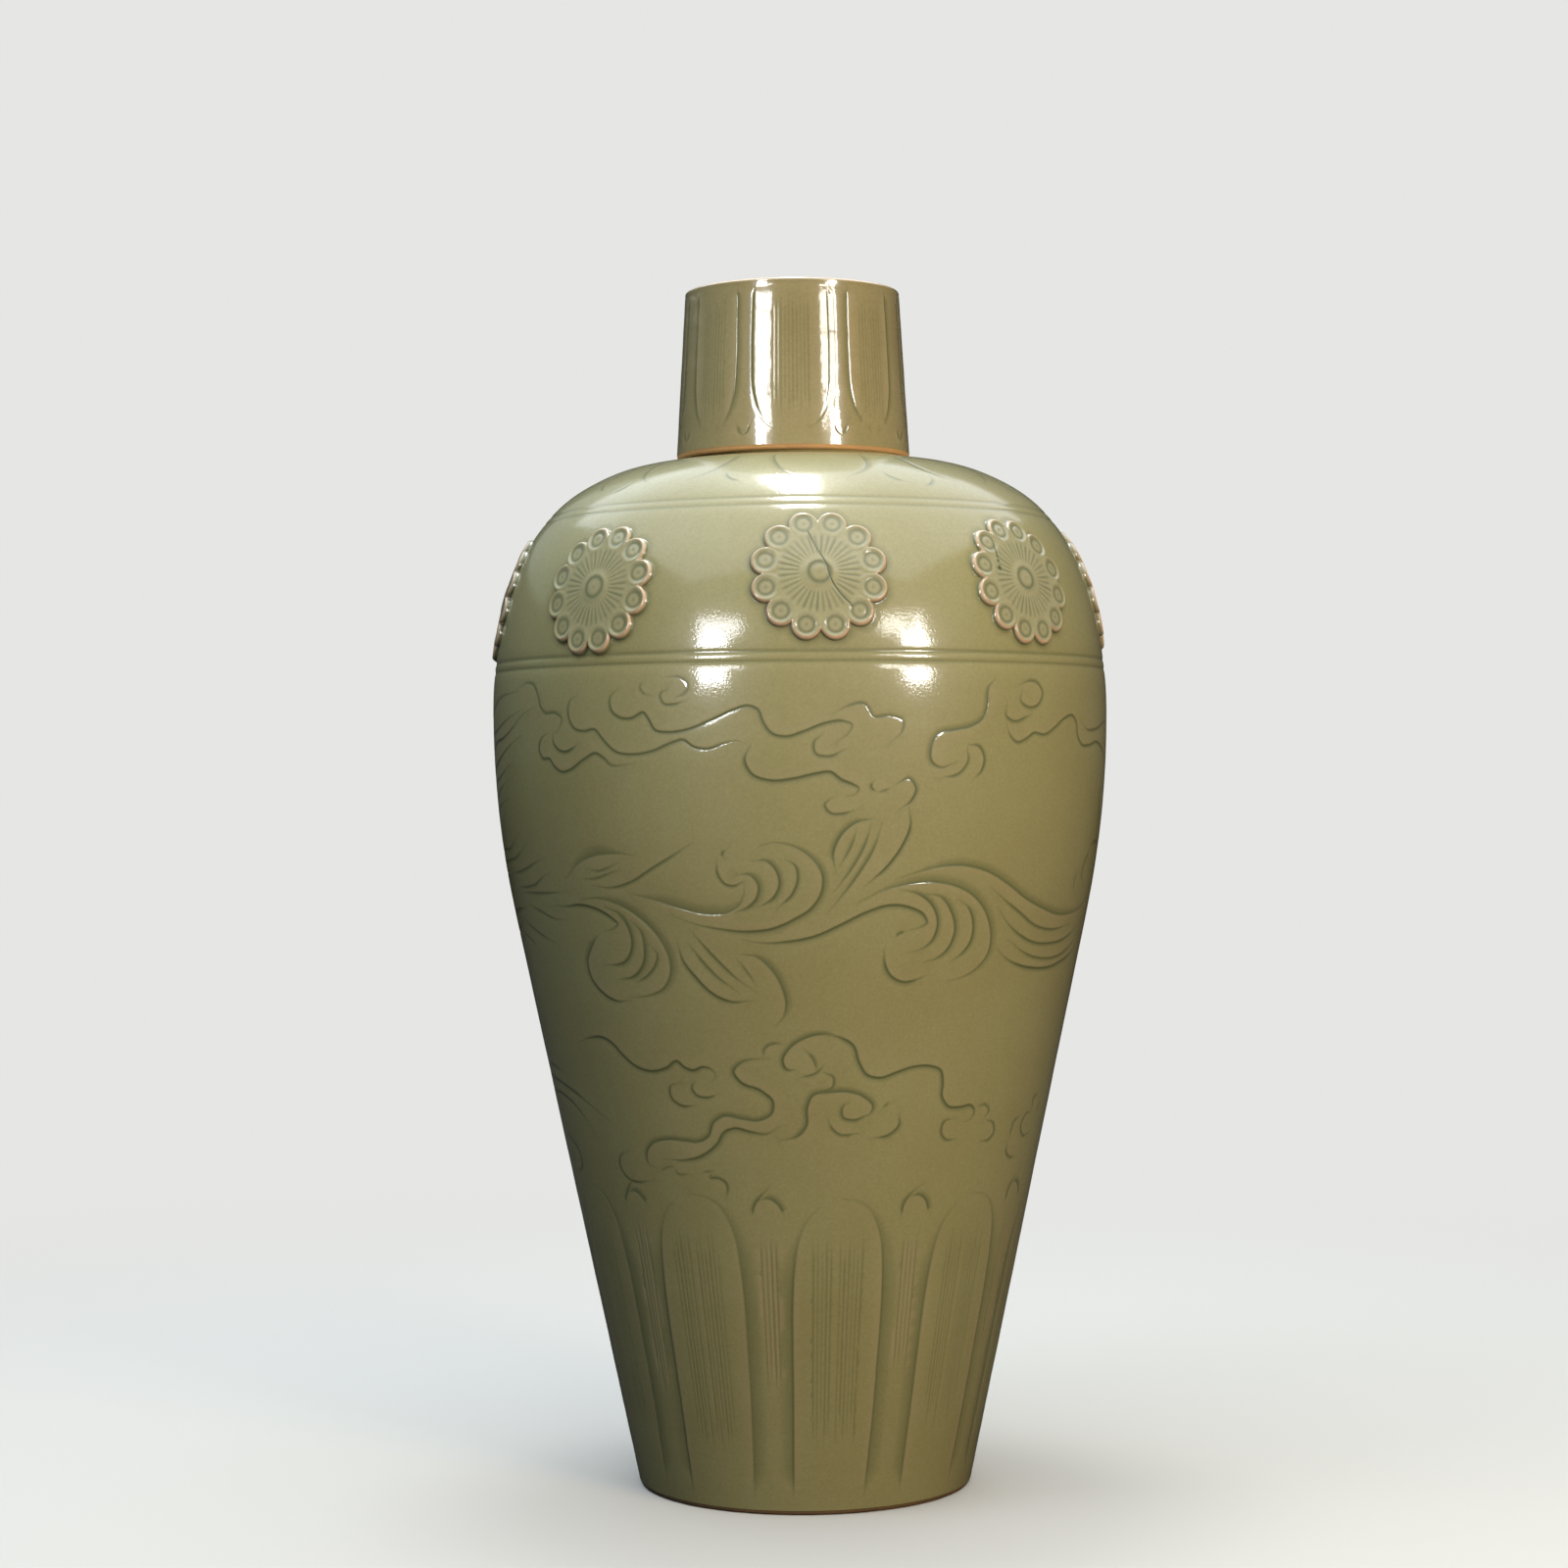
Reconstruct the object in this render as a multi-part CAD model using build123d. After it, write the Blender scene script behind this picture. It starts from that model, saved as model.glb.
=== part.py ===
from build123d import *
import math
import os

# A lidded meiping: a tall high-shouldered celadon vase with a small mouth and a cup-shaped cap.
# The body is thrown in three sections and luted together with slip, the neck is luted on top,
# and eight moulded flower medallions are sprigged round the shoulder. The loose cap drops over
# the neck and rests on a low turned seat. Millimetres, +Z up, origin at the centre of the foot,
# and the front of the vase faces -Y.

# Vessel outline
foot_radius = 55.5
belly_radius = 103.0
belly_height = 258.0
lower_curve_radius = 320.0
shoulder_rise = 85.0
seat_step = 0.7
seat_inset = 1.8
shoulder_end_slope = 0.12
# Shares of the way from the seat out to the belly, and from the belly up to the seat.
shoulder_shares = ((0.975, 0.261), (0.907, 0.498), (0.768, 0.712), (0.638, 0.826), (0.33, 0.957))

# Walls and foot
wall = 7.0
shoulder_wall = 7.0
floor_thickness = 9.0
recess_depth = 3.5
recess_taper = 2.5
foot_ring_width = 9.0
foot_edge_radius = 1.6
floor_corner_radius = 16.0
seam_low = 158.0

# Turned double rings, below and above the medallions, at shares of the shoulder's rise
ring_width = 1.6
ring_depth = 0.5
ring_gap = 3.1
lower_rings_share = 0.159
upper_rings_share = 0.741

# Neck and mouth
mouth_radius = 20.0
neck_wall = 5.0
neck_height = 31.0
neck_foot_radius = 4.0
lip_overhang = 3.5
lip_height = 9.0
lip_radius_of_edge = 2.8
throat_radius_of_edge = 1.8

# Cap
cap_play = 3.0
cap_wall = 4.5
cap_flare = 3.3
cap_headroom = 20.3
cap_top_wall = 5.0
cap_top_edge_radius = 1.4
cap_inner_corner_radius = 5.0
cap_rim_edge = 0.7
cap_shift = 1.6

# Medallions, set by hand: degrees round the vase, and shares of a radius that each one sits low
medallion_angles = (3.4, 46.3, 93.0, 138.0, 182.5, 227.5, 272.5, 319.4)
medallion_drop_shares = (0.03, 0.05, 0.0, 0.05, 0.08, 0.03, 0.125, 0.16)
medallion_height_share = 0.4847
medallion_radius = 21.8
medallion_thickness = 1.5
field_drop = 0.45
lobe_count = 12
lobe_radius = 4.7
bead_width = 1.3
boss_radius = 4.6
boss_height = 0.4
boss_hollow_radius = 2.6
slip_gap = 0.25
overrun = 5.0

# Worked out from the sizes above
seat_height = belly_height + shoulder_rise
lower_rings_height = belly_height + lower_rings_share * shoulder_rise
upper_rings_height = belly_height + upper_rings_share * shoulder_rise
medallion_height = belly_height + medallion_height_share * shoulder_rise
neck_radius = mouth_radius + neck_wall
lip_radius = neck_radius + lip_overhang
cap_top_radius = lip_radius + cap_play + cap_wall
cap_rim_radius = cap_top_radius + cap_flare
cap_height = neck_height + cap_headroom + cap_top_wall
seat_radius = cap_rim_radius - seat_inset
floor_height = recess_depth + floor_thickness
seam_high = lower_rings_height
curve_centre = (belly_radius - lower_curve_radius, belly_height)
run = foot_radius - curve_centre[0]
flare = math.atan2(belly_height, run) - math.acos(lower_curve_radius / math.hypot(run, belly_height))
flare_degrees = math.degrees(flare)


def revolved(outline):
    """Turns a closed outline of (radius, height) edges round the vertical axis."""
    return revolve(Plane.XZ * make_face(outline), Axis.Z)


def on_curve(radius):
    """The point where the straight lower wall meets its curve, on the circle of that radius."""
    return (
        curve_centre[0] + radius * math.cos(flare),
        curve_centre[1] - radius * math.sin(flare),
    )


def wall_radius(height, thickness):
    """Radius of the straight lower wall at a height, that far inside the outer face."""
    start = on_curve(lower_curve_radius - thickness)
    return start[0] - (start[1] - height) * math.tan(flare)


def shoulder_curve(belly, end_radius, end_height):
    """The shoulder's curve, from the belly's widest ring up to the seat."""
    points = [(belly, belly_height)]
    for across, up in shoulder_shares:
        points.append((
            end_radius + across * (belly - end_radius),
            belly_height + up * (end_height - belly_height),
        ))
    points.append((end_radius, end_height))
    return Spline(*points, tangents=[(0, 1), (-1, shoulder_end_slope)])


def belly_curve(thickness):
    """The curve from the straight wall to the belly's widest ring."""
    return CenterArc(curve_centre, lower_curve_radius - thickness, -flare_degrees, flare_degrees)


def rounded(face, corner, radius):
    """The face with the corner nearest to a (radius, height) point rounded."""
    nearest = min(face.vertices(), key=lambda v: math.hypot(v.X - corner[0], v.Y - corner[1]))
    return fillet(nearest, radius)


outer_shoulder = shoulder_curve(belly_radius, seat_radius, seat_height - seat_step)


def shoulder_at(height):
    """Radius and outward lean, in degrees above level, of the shoulder's face at a height."""
    low, high = 0.0, 1.0
    for _ in range(50):
        middle = (low + high) / 2
        if (outer_shoulder @ middle).Y < height:
            low = middle
        else:
            high = middle
    point, along = outer_shoulder @ low, outer_shoulder % low
    return point.X, math.degrees(math.atan2(-along.X, along.Y))


def vessel():
    """The whole thrown body without its neck: foot, wall, shoulder and seat, hollow inside."""
    foot_face = [
        Line((0, recess_depth), (foot_radius - foot_ring_width - recess_taper, recess_depth)),
        Line(
            (foot_radius - foot_ring_width - recess_taper, recess_depth),
            (foot_radius - foot_ring_width, 0),
        ),
        Line((foot_radius - foot_ring_width, 0), (foot_radius, 0)),
    ]
    outside = [
        Line((foot_radius, 0), on_curve(lower_curve_radius)),
        belly_curve(0),
        outer_shoulder,
        Line((seat_radius, seat_height - seat_step), (seat_radius, seat_height)),
        Line((seat_radius, seat_height), (mouth_radius, seat_height)),
    ]
    inner_end = (seat_radius, seat_height - shoulder_wall)
    inside = [
        Line((mouth_radius, seat_height), (mouth_radius, inner_end[1])),
        Line((mouth_radius, inner_end[1]), inner_end),
        shoulder_curve(belly_radius - wall, *inner_end),
        belly_curve(wall),
        Line(on_curve(lower_curve_radius - wall), (wall_radius(floor_height, wall), floor_height)),
        Line((wall_radius(floor_height, wall), floor_height), (0, floor_height)),
        Line((0, floor_height), (0, recess_depth)),
    ]
    face = make_face(foot_face + outside + inside)
    face = rounded(face, (foot_radius, 0), foot_edge_radius)
    face = rounded(face, (wall_radius(floor_height, wall), floor_height), floor_corner_radius)
    return revolve(Plane.XZ * face, Axis.Z)


def ring_cutter(height):
    """A shallow V-shaped ring turned into the shoulder at a height."""
    radius, lean = shoulder_at(height)
    notch = Polyline(
        (-ring_depth, 0), (ring_depth, ring_width), (ring_depth, -ring_width), close=True
    )
    face = Pos(radius, height) * Rot(0, 0, lean) * make_face(notch)
    return revolve(Plane.XZ * face, Axis.Z)


def ring_pair(height):
    """Heights of two rings, their gap measured along the shoulder's face."""
    _, lean = shoulder_at(height)
    return height, height + ring_gap * math.cos(math.radians(lean))


def slab(low, high):
    """A block that holds everything between two heights."""
    side = 2 * (belly_radius + overrun)
    return Pos(0, 0, low) * Box(side, side, high - low, align=(Align.CENTER, Align.CENTER, Align.MIN))


def body_sections():
    """The three thrown sections, butted at the luting seams; the upper seam lies in a ring."""
    whole = vessel()
    for height in ring_pair(lower_rings_height) + ring_pair(upper_rings_height):
        whole = whole - ring_cutter(height)
    return {
        "lower_body": whole & slab(-overrun, seam_low),
        "upper_body": whole & slab(seam_low, seam_high),
        "shoulder": whole & slab(seam_high, seat_height + overrun),
    }


def neck():
    """The short neck with its rolled lip, standing on the shoulder."""
    top = seat_height + neck_height
    lip_base = top - lip_height
    outline = Polyline(
        (mouth_radius, seat_height),
        (neck_radius + neck_foot_radius, seat_height),
        (neck_radius, seat_height + neck_foot_radius),
        (neck_radius, lip_base - lip_overhang),
        (lip_radius, lip_base),
        (lip_radius, top),
        (mouth_radius, top),
        close=True,
    )
    face = make_face(outline)
    face = rounded(face, (neck_radius, seat_height + neck_foot_radius), neck_foot_radius)
    face = rounded(face, (neck_radius, lip_base - lip_overhang), lip_radius_of_edge)
    face = rounded(face, (lip_radius, lip_base), lip_radius_of_edge)
    face = rounded(face, (lip_radius, top), lip_radius_of_edge)
    face = rounded(face, (mouth_radius, top), throat_radius_of_edge)
    return revolve(Plane.XZ * face, Axis.Z)


def cap():
    """The cup-shaped cap, mouth down, whose bare rim stands on the seat a little to the left."""
    top = seat_height + cap_height
    ceiling = top - cap_top_wall
    fall = cap_flare * cap_top_wall / cap_height
    outline = Polyline(
        (0, top),
        (cap_top_radius, top),
        (cap_rim_radius, seat_height),
        (cap_rim_radius - cap_wall, seat_height),
        (cap_top_radius + fall - cap_wall, ceiling),
        (0, ceiling),
        close=True,
    )
    face = make_face(outline)
    face = rounded(face, (cap_top_radius, top), cap_top_edge_radius)
    face = rounded(face, (cap_rim_radius, seat_height), cap_rim_edge)
    face = rounded(face, (cap_top_radius + fall - cap_wall, ceiling), cap_inner_corner_radius)
    return Pos(-cap_shift, 0, 0) * revolve(Plane.XZ * face, Axis.Z)


def scallop(inset):
    """A flower outline of round lobes, drawn in by inset, with the field that joins them.

    Two lobes stand astride the upright, so no lobe points straight up.
    """
    lobe_place = medallion_radius - lobe_radius
    half_lobe = math.degrees(math.pi / lobe_count)
    lobes = PolarLocations(lobe_place, lobe_count, start_angle=half_lobe) * Circle(lobe_radius - inset)
    return Circle(lobe_place) + lobes


def blanket(height, lift):
    """The space under a layer of clay or slip on the shoulder, that thick where height lies."""
    _, lean = shoulder_at(height)
    raised = Pos(lift * math.cos(math.radians(lean)), lift * math.sin(math.radians(lean)))
    curve = raised * outer_shoulder
    low, high = curve @ 0, curve @ 1
    return revolved([
        Line((0, low.Y), (low.X, low.Y)),
        curve,
        Line((high.X, high.Y), (0, high.Y)),
        Line((0, high.Y), (0, low.Y)),
    ])


def medallion(height):
    """One moulded medallion at the front, its middle at a height, bent to lie on the shoulder."""
    radius, lean = shoulder_at(height)
    seat_plane = Plane(
        origin=(0, -radius, height),
        x_dir=(1, 0, 0),
        z_dir=(0, -math.cos(math.radians(lean)), math.sin(math.radians(lean))),
    )

    def stamped(sketch):
        """The sketch as a prism square to the shoulder, well past both faces."""
        return seat_plane * (Pos(0, 0, -overrun) * extrude(sketch, overrun + overrun))

    field_lift = medallion_thickness - field_drop
    plate = stamped(scallop(0)) & blanket(height, medallion_thickness)
    plate = plate - (stamped(scallop(bead_width)) - blanket(height, field_lift))
    boss = stamped(Circle(boss_radius) - Circle(boss_hollow_radius))
    plate = plate + (boss & blanket(height, field_lift + boss_height))
    return plate - blanket(height, slip_gap)


def medallions():
    """All eight medallions, each turned to its own place round the shoulder."""
    made = {}
    for number, (angle, drop) in enumerate(zip(medallion_angles, medallion_drop_shares), start=1):
        height = medallion_height - drop * medallion_radius
        made[f"medallion_{number}"] = Rot(0, 0, angle) * medallion(height)
    return made


def main():
    os.makedirs("parts", exist_ok=True)
    pieces = body_sections()
    pieces["neck"] = neck()
    pieces["cap"] = cap()
    pieces.update(medallions())
    for name, piece in pieces.items():
        export_step(piece, f"parts/{name}.step")


main()
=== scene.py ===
"""Looks of a lidded, carved celadon meiping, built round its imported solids.

The vase is thrown in three sections, carved through the leather-hard clay with a slanted knife,
combed inside its petals, sprigged with moulded medallions and dipped in a celadon glaze. The
carved walls here are triangulated along the knife strokes, so that each cut keeps its crisp edge
and its sloping side. Lengths are millimetres until a mesh is made, angles are degrees round the
vase with 0 at the front (-Y) and positive to the right, and heights start at the foot.
"""

from __future__ import annotations

import logging
import math
from collections.abc import Sequence
from dataclasses import dataclass, field
from enum import Enum

import bpy
import numpy as np
from mathutils import Euler, Matrix, Vector
from mathutils.geometry import delaunay_2d_cdt


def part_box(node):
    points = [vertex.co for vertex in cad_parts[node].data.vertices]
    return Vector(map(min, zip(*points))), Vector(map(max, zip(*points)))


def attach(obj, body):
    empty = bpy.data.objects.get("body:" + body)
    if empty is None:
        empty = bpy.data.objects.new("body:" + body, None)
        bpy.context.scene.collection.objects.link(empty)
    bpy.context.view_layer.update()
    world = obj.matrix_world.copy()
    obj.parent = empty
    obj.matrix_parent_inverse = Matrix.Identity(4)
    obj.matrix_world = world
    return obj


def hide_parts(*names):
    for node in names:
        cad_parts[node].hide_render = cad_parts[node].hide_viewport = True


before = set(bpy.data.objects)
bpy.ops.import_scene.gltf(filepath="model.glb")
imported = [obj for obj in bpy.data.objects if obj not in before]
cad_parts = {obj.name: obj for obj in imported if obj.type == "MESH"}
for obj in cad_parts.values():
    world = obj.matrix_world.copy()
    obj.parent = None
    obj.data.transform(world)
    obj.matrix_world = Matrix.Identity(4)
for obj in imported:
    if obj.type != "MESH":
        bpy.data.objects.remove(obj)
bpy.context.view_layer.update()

log = logging.getLogger("meiping")

MM = 0.001
Point = tuple[float, float]
Path = tuple[Point, ...]
Array = np.ndarray

# Step at which a turned face is sampled, and the samples each way that soften its arrises.
SAMPLE = 0.1
SOFT_SAMPLES = 20
# A turned groove lies under a chord of this many samples each way, counts from this depth, and
# lies at least the margin away from the ends of the face.
CHORD_SAMPLES = 12
LEAST_GROOVE = 0.08
GROOVE_MARGIN = 8
# Offsets at which rows of points follow a groove, and the points in such a row.
GROOVE_ROWS = (-1.1, -0.75, -0.4, -0.12, 0.12, 0.4, 0.75, 1.1)
GROOVE_POINTS = 481
# Two coordinates on the sheet nearer than this are the same.
TIE = 1e-6


# Curves and profiles


def eased(low: float, high: float, value: Array) -> Array:
    """Zero below low, one above high, and a smooth ease between."""
    share = np.clip((value - low) / (high - low), 0.0, 1.0)
    return share * share * (3.0 - 2.0 * share)


def bump_at(value: Array, place: float, spread: float) -> Array:
    """A bell of height one round a place."""
    return np.exp(-(((value - place) / spread) ** 2))


def wrapped(angle: Array, half_turn: float) -> Array:
    """The same angle, brought within half a turn of zero."""
    return (angle + half_turn) % (2 * half_turn) - half_turn


def smooth_curve(points: Array, step: float) -> Array:
    """Draws one even curve through the points.

    Args:
        points: The curve's control points, one row each.
        step: The spacing of the points that come back, in the same unit.

    Returns:
        Points along the curve, its ends included.
    """
    lengths = np.hypot(*np.diff(points, axis=0).T)
    stations = np.concatenate(([0.0], np.cumsum(lengths)))
    tangents = np.gradient(points, stations, axis=0)
    count = max(int(math.ceil(stations[-1] / step)), 3)
    along = np.linspace(0.0, stations[-1], count + 1)
    leg = np.clip(np.searchsorted(stations, along, side="right") - 1, 0, len(lengths) - 1)
    span = lengths[leg][:, None]
    t = ((along - stations[leg]) / lengths[leg])[:, None]
    t2, t3 = t * t, t * t * t
    return (
        (2 * t3 - 3 * t2 + 1) * points[leg]
        + (t3 - 2 * t2 + t) * span * tangents[leg]
        + (3 * t2 - 2 * t3) * points[leg + 1]
        + (t3 - t2) * span * tangents[leg + 1]
    )


class Wall(Enum):
    """Which face of a hollow turned piece a profile follows."""

    OUTER = 1
    INNER = -1


def axis_of(node: str) -> Array:
    """Where the axis of a turned solid stands, as across and back in millimetres."""
    low, high = (np.array(corner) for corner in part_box(node))
    return ((low + high) / 2 / MM)[:2].round(1)


def node_profile(node: str, wall: Wall) -> Array:
    """Reads one face of a turned solid as (height, radius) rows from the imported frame.

    Args:
        node: The solid's name.
        wall: The face that is wanted.

    Returns:
        Rows in millimetres, lowest first, one for each ring of the solid's facets.
    """
    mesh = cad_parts[node].data
    spots = np.empty(len(mesh.vertices) * 3)
    mesh.vertices.foreach_get("co", spots)
    spots = spots.reshape(-1, 3) / MM
    spots[:, :2] -= axis_of(node)
    mesh.calc_loop_triangles()
    corners = np.empty(len(mesh.loop_triangles) * 3, dtype=int)
    mesh.loop_triangles.foreach_get("vertices", corners)
    corners = corners.reshape(-1, 3)
    first, second, third = (spots[corners[:, i]] for i in range(3))
    normals = np.cross(second - first, third - first)
    middles = (first + second + third) / 3
    outward = (normals[:, :2] * middles[:, :2]).sum(axis=1) / (
        np.linalg.norm(normals, axis=1) * np.hypot(middles[:, 0], middles[:, 1]) + 1e-9
    )
    chosen = np.unique(corners[outward * wall.value > 0.02])
    radii = np.hypot(spots[chosen, 0], spots[chosen, 1])
    return np.unique(np.column_stack((spots[chosen, 2], radii)).round(2), axis=0)


def one_radius_each(rows: Array) -> tuple[Array, Array]:
    """The heights of (height, radius) rows, and the first radius that is listed at each."""
    heights, first = np.unique(rows[:, 0], return_index=True)
    return heights, rows[first, 1]


@dataclass
class TurnedSurface:
    """A turned outer face, with a map that keeps angles between it and a flat sheet.

    Attributes:
        heights: Sample heights.
        radii: Radii at those heights.
        sheet: The sheet's upward coordinate at those heights.
        lean: Radians that the outward normal tips up there.
        hollows: Depth of the turned grooves there.
    """

    heights: Array
    radii: Array
    sheet: Array = field(init=False)
    lean: Array = field(init=False)
    hollows: Array = field(init=False)

    def __post_init__(self) -> None:
        """Works out the sheet's coordinate, the lean and the turned grooves at each height."""
        slope = np.gradient(self.radii, self.heights)
        slant = np.hypot(1.0, slope) / self.radii
        steps = (slant[1:] + slant[:-1]) / 2 * np.diff(self.heights)
        self.sheet = np.concatenate(([0.0], np.cumsum(steps)))
        self.lean = np.arctan(-slope)
        reach = CHORD_SAMPLES
        padded = np.pad(self.radii, reach, mode="edge")
        chord = (padded[: -2 * reach] + padded[2 * reach:]) / 2
        ends = np.minimum(self.heights - self.heights[0], self.heights[-1] - self.heights) < GROOVE_MARGIN
        self.hollows = np.where(ends, 0.0, np.maximum(chord - self.radii, 0.0)) * np.cos(self.lean)

    @classmethod
    def from_nodes(cls, nodes: Sequence[str], softness: float = 0.8) -> TurnedSurface:
        """Joins the outer profiles of stacked solids, with their arrises a little softened.

        Args:
            nodes: The solids, lowest first.
            softness: How far the glaze rounds a turned arris.

        Returns:
            The joined surface.
        """
        rows = np.vstack([node_profile(node, Wall.OUTER) for node in nodes])
        heights, radii = one_radius_each(rows[np.argsort(rows[:, 0], kind="stable")])
        fine = np.arange(heights[0], heights[-1], SAMPLE)
        radii = np.interp(fine, heights, radii)
        bell = bump_at(np.arange(-SOFT_SAMPLES, SOFT_SAMPLES + 1) * SAMPLE, 0.0, softness)
        padded = np.pad(radii, SOFT_SAMPLES, mode="edge")
        soft = np.convolve(padded, bell / bell.sum(), mode="valid")
        edge = np.minimum(fine - fine[0], fine[-1] - fine) < SOFT_SAMPLES * SAMPLE
        return cls(fine, np.where(edge, radii, soft))

    def radius(self, height: Array | float) -> Array:
        """Radius of the face at a height."""
        return np.interp(height, self.heights, self.radii)

    def hollow(self, height: Array | float) -> Array:
        """Depth of a turned groove at a height, zero on the plain curve."""
        return np.interp(height, self.heights, self.hollows)

    def grooves(self) -> list[float]:
        """Heights of the turned grooves."""
        below, here, above = self.hollows[:-2], self.hollows[1:-1], self.hollows[2:]
        return self.heights[1:-1][(here >= below) & (here > above) & (here > LEAST_GROOVE)].tolist()

    def across(self, height: Array | float) -> Array:
        """The sheet's upward coordinate at a height."""
        return np.interp(height, self.heights, self.sheet)

    def height(self, across: Array | float) -> Array:
        """Height on the face at the sheet's upward coordinate."""
        return np.interp(across, self.sheet, self.heights)

    def spots(self, turn: Array, height: Array, lift: Array | float = 0.0) -> Array:
        """Places on the face, moved along its outward normal.

        Args:
            turn: Angles round the vase in radians.
            height: Heights.
            lift: Distance outwards, negative for a cut.

        Returns:
            One x, y, z row for each place.
        """
        lean = np.interp(height, self.heights, self.lean)
        reach = self.radius(height) + lift * np.cos(lean)
        return np.column_stack(
            (reach * np.sin(turn), -reach * np.cos(turn), height + lift * np.sin(lean))
        )


# Knife strokes


class Side(Enum):
    """The side of a stroke, looking along it, to which the knife's slope falls away."""

    LEFT = 1
    RIGHT = -1


@dataclass(frozen=True)
class Cut:
    """One stroke of the slanted knife.

    Attributes:
        path: The crisp edge, as (degrees, height) points.
        side: Where the slope lies.
        width: Width of the slope at its widest.
        depth: Depth under the crisp edge.
        start: Share of the length over which the stroke comes in.
        end: Share of the length over which it runs out.
    """

    path: Path
    side: Side = Side.RIGHT
    width: float = 1.2
    depth: float = 0.4
    start: float = 0.3
    end: float = 0.3

    def turned(self, degrees: float) -> Cut:
        """The same stroke further round the vase."""
        path = tuple((turn + degrees, height) for turn, height in self.path)
        return Cut(path, self.side, self.width, self.depth, self.start, self.end)


def left(path: Path, width: float, depth: float = 0.5, start: float = 0.3, end: float = 0.3) -> Cut:
    """A stroke whose slope falls away to the left."""
    return Cut(path, Side.LEFT, width, depth, start, end)


def right(path: Path, width: float, depth: float = 0.5, start: float = 0.3, end: float = 0.3) -> Cut:
    """A stroke whose slope falls away to the right."""
    return Cut(path, Side.RIGHT, width, depth, start, end)


def line(path: Path, width: float = 0.95, depth: float = 0.3) -> Cut:
    """A light stroke of the knife's point."""
    return Cut(path, Side.RIGHT, width, depth, 0.35, 0.45)


@dataclass(frozen=True)
class Comb:
    """A band of fine parallel grooves drawn upwards with a toothed comb.

    Attributes:
        turn: Degrees round the vase of the band's middle.
        low: Height of the band's lower end.
        high: Height of its upper end.
        teeth: Number of grooves.
        pitch: Degrees from groove to groove.
        depth: Depth of a groove.
        drift: Degrees that the band leans over its length.
        skipped: The tooth that left no mark, or -1.
    """

    turn: float
    low: float
    high: float
    teeth: int
    pitch: float
    depth: float = 0.1
    drift: float = 0.0
    skipped: int = -1

    def share(self, heights: Array) -> Array:
        """How far up the band each height lies, from 0 to 1."""
        return (heights - self.low) / (self.high - self.low)

    def offset(self, degrees: Array, share: Array) -> Array:
        """Degrees from the band's middle, at shares of its height."""
        return wrapped(degrees - self.turn - self.drift * share, 180)


@dataclass
class Strokes:
    """All the cuts and combed bands of one turned surface.

    Attributes:
        cuts: The strokes of the knife.
        combs: The combed bands.
    """

    cuts: list[Cut]
    combs: list[Comb]


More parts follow.
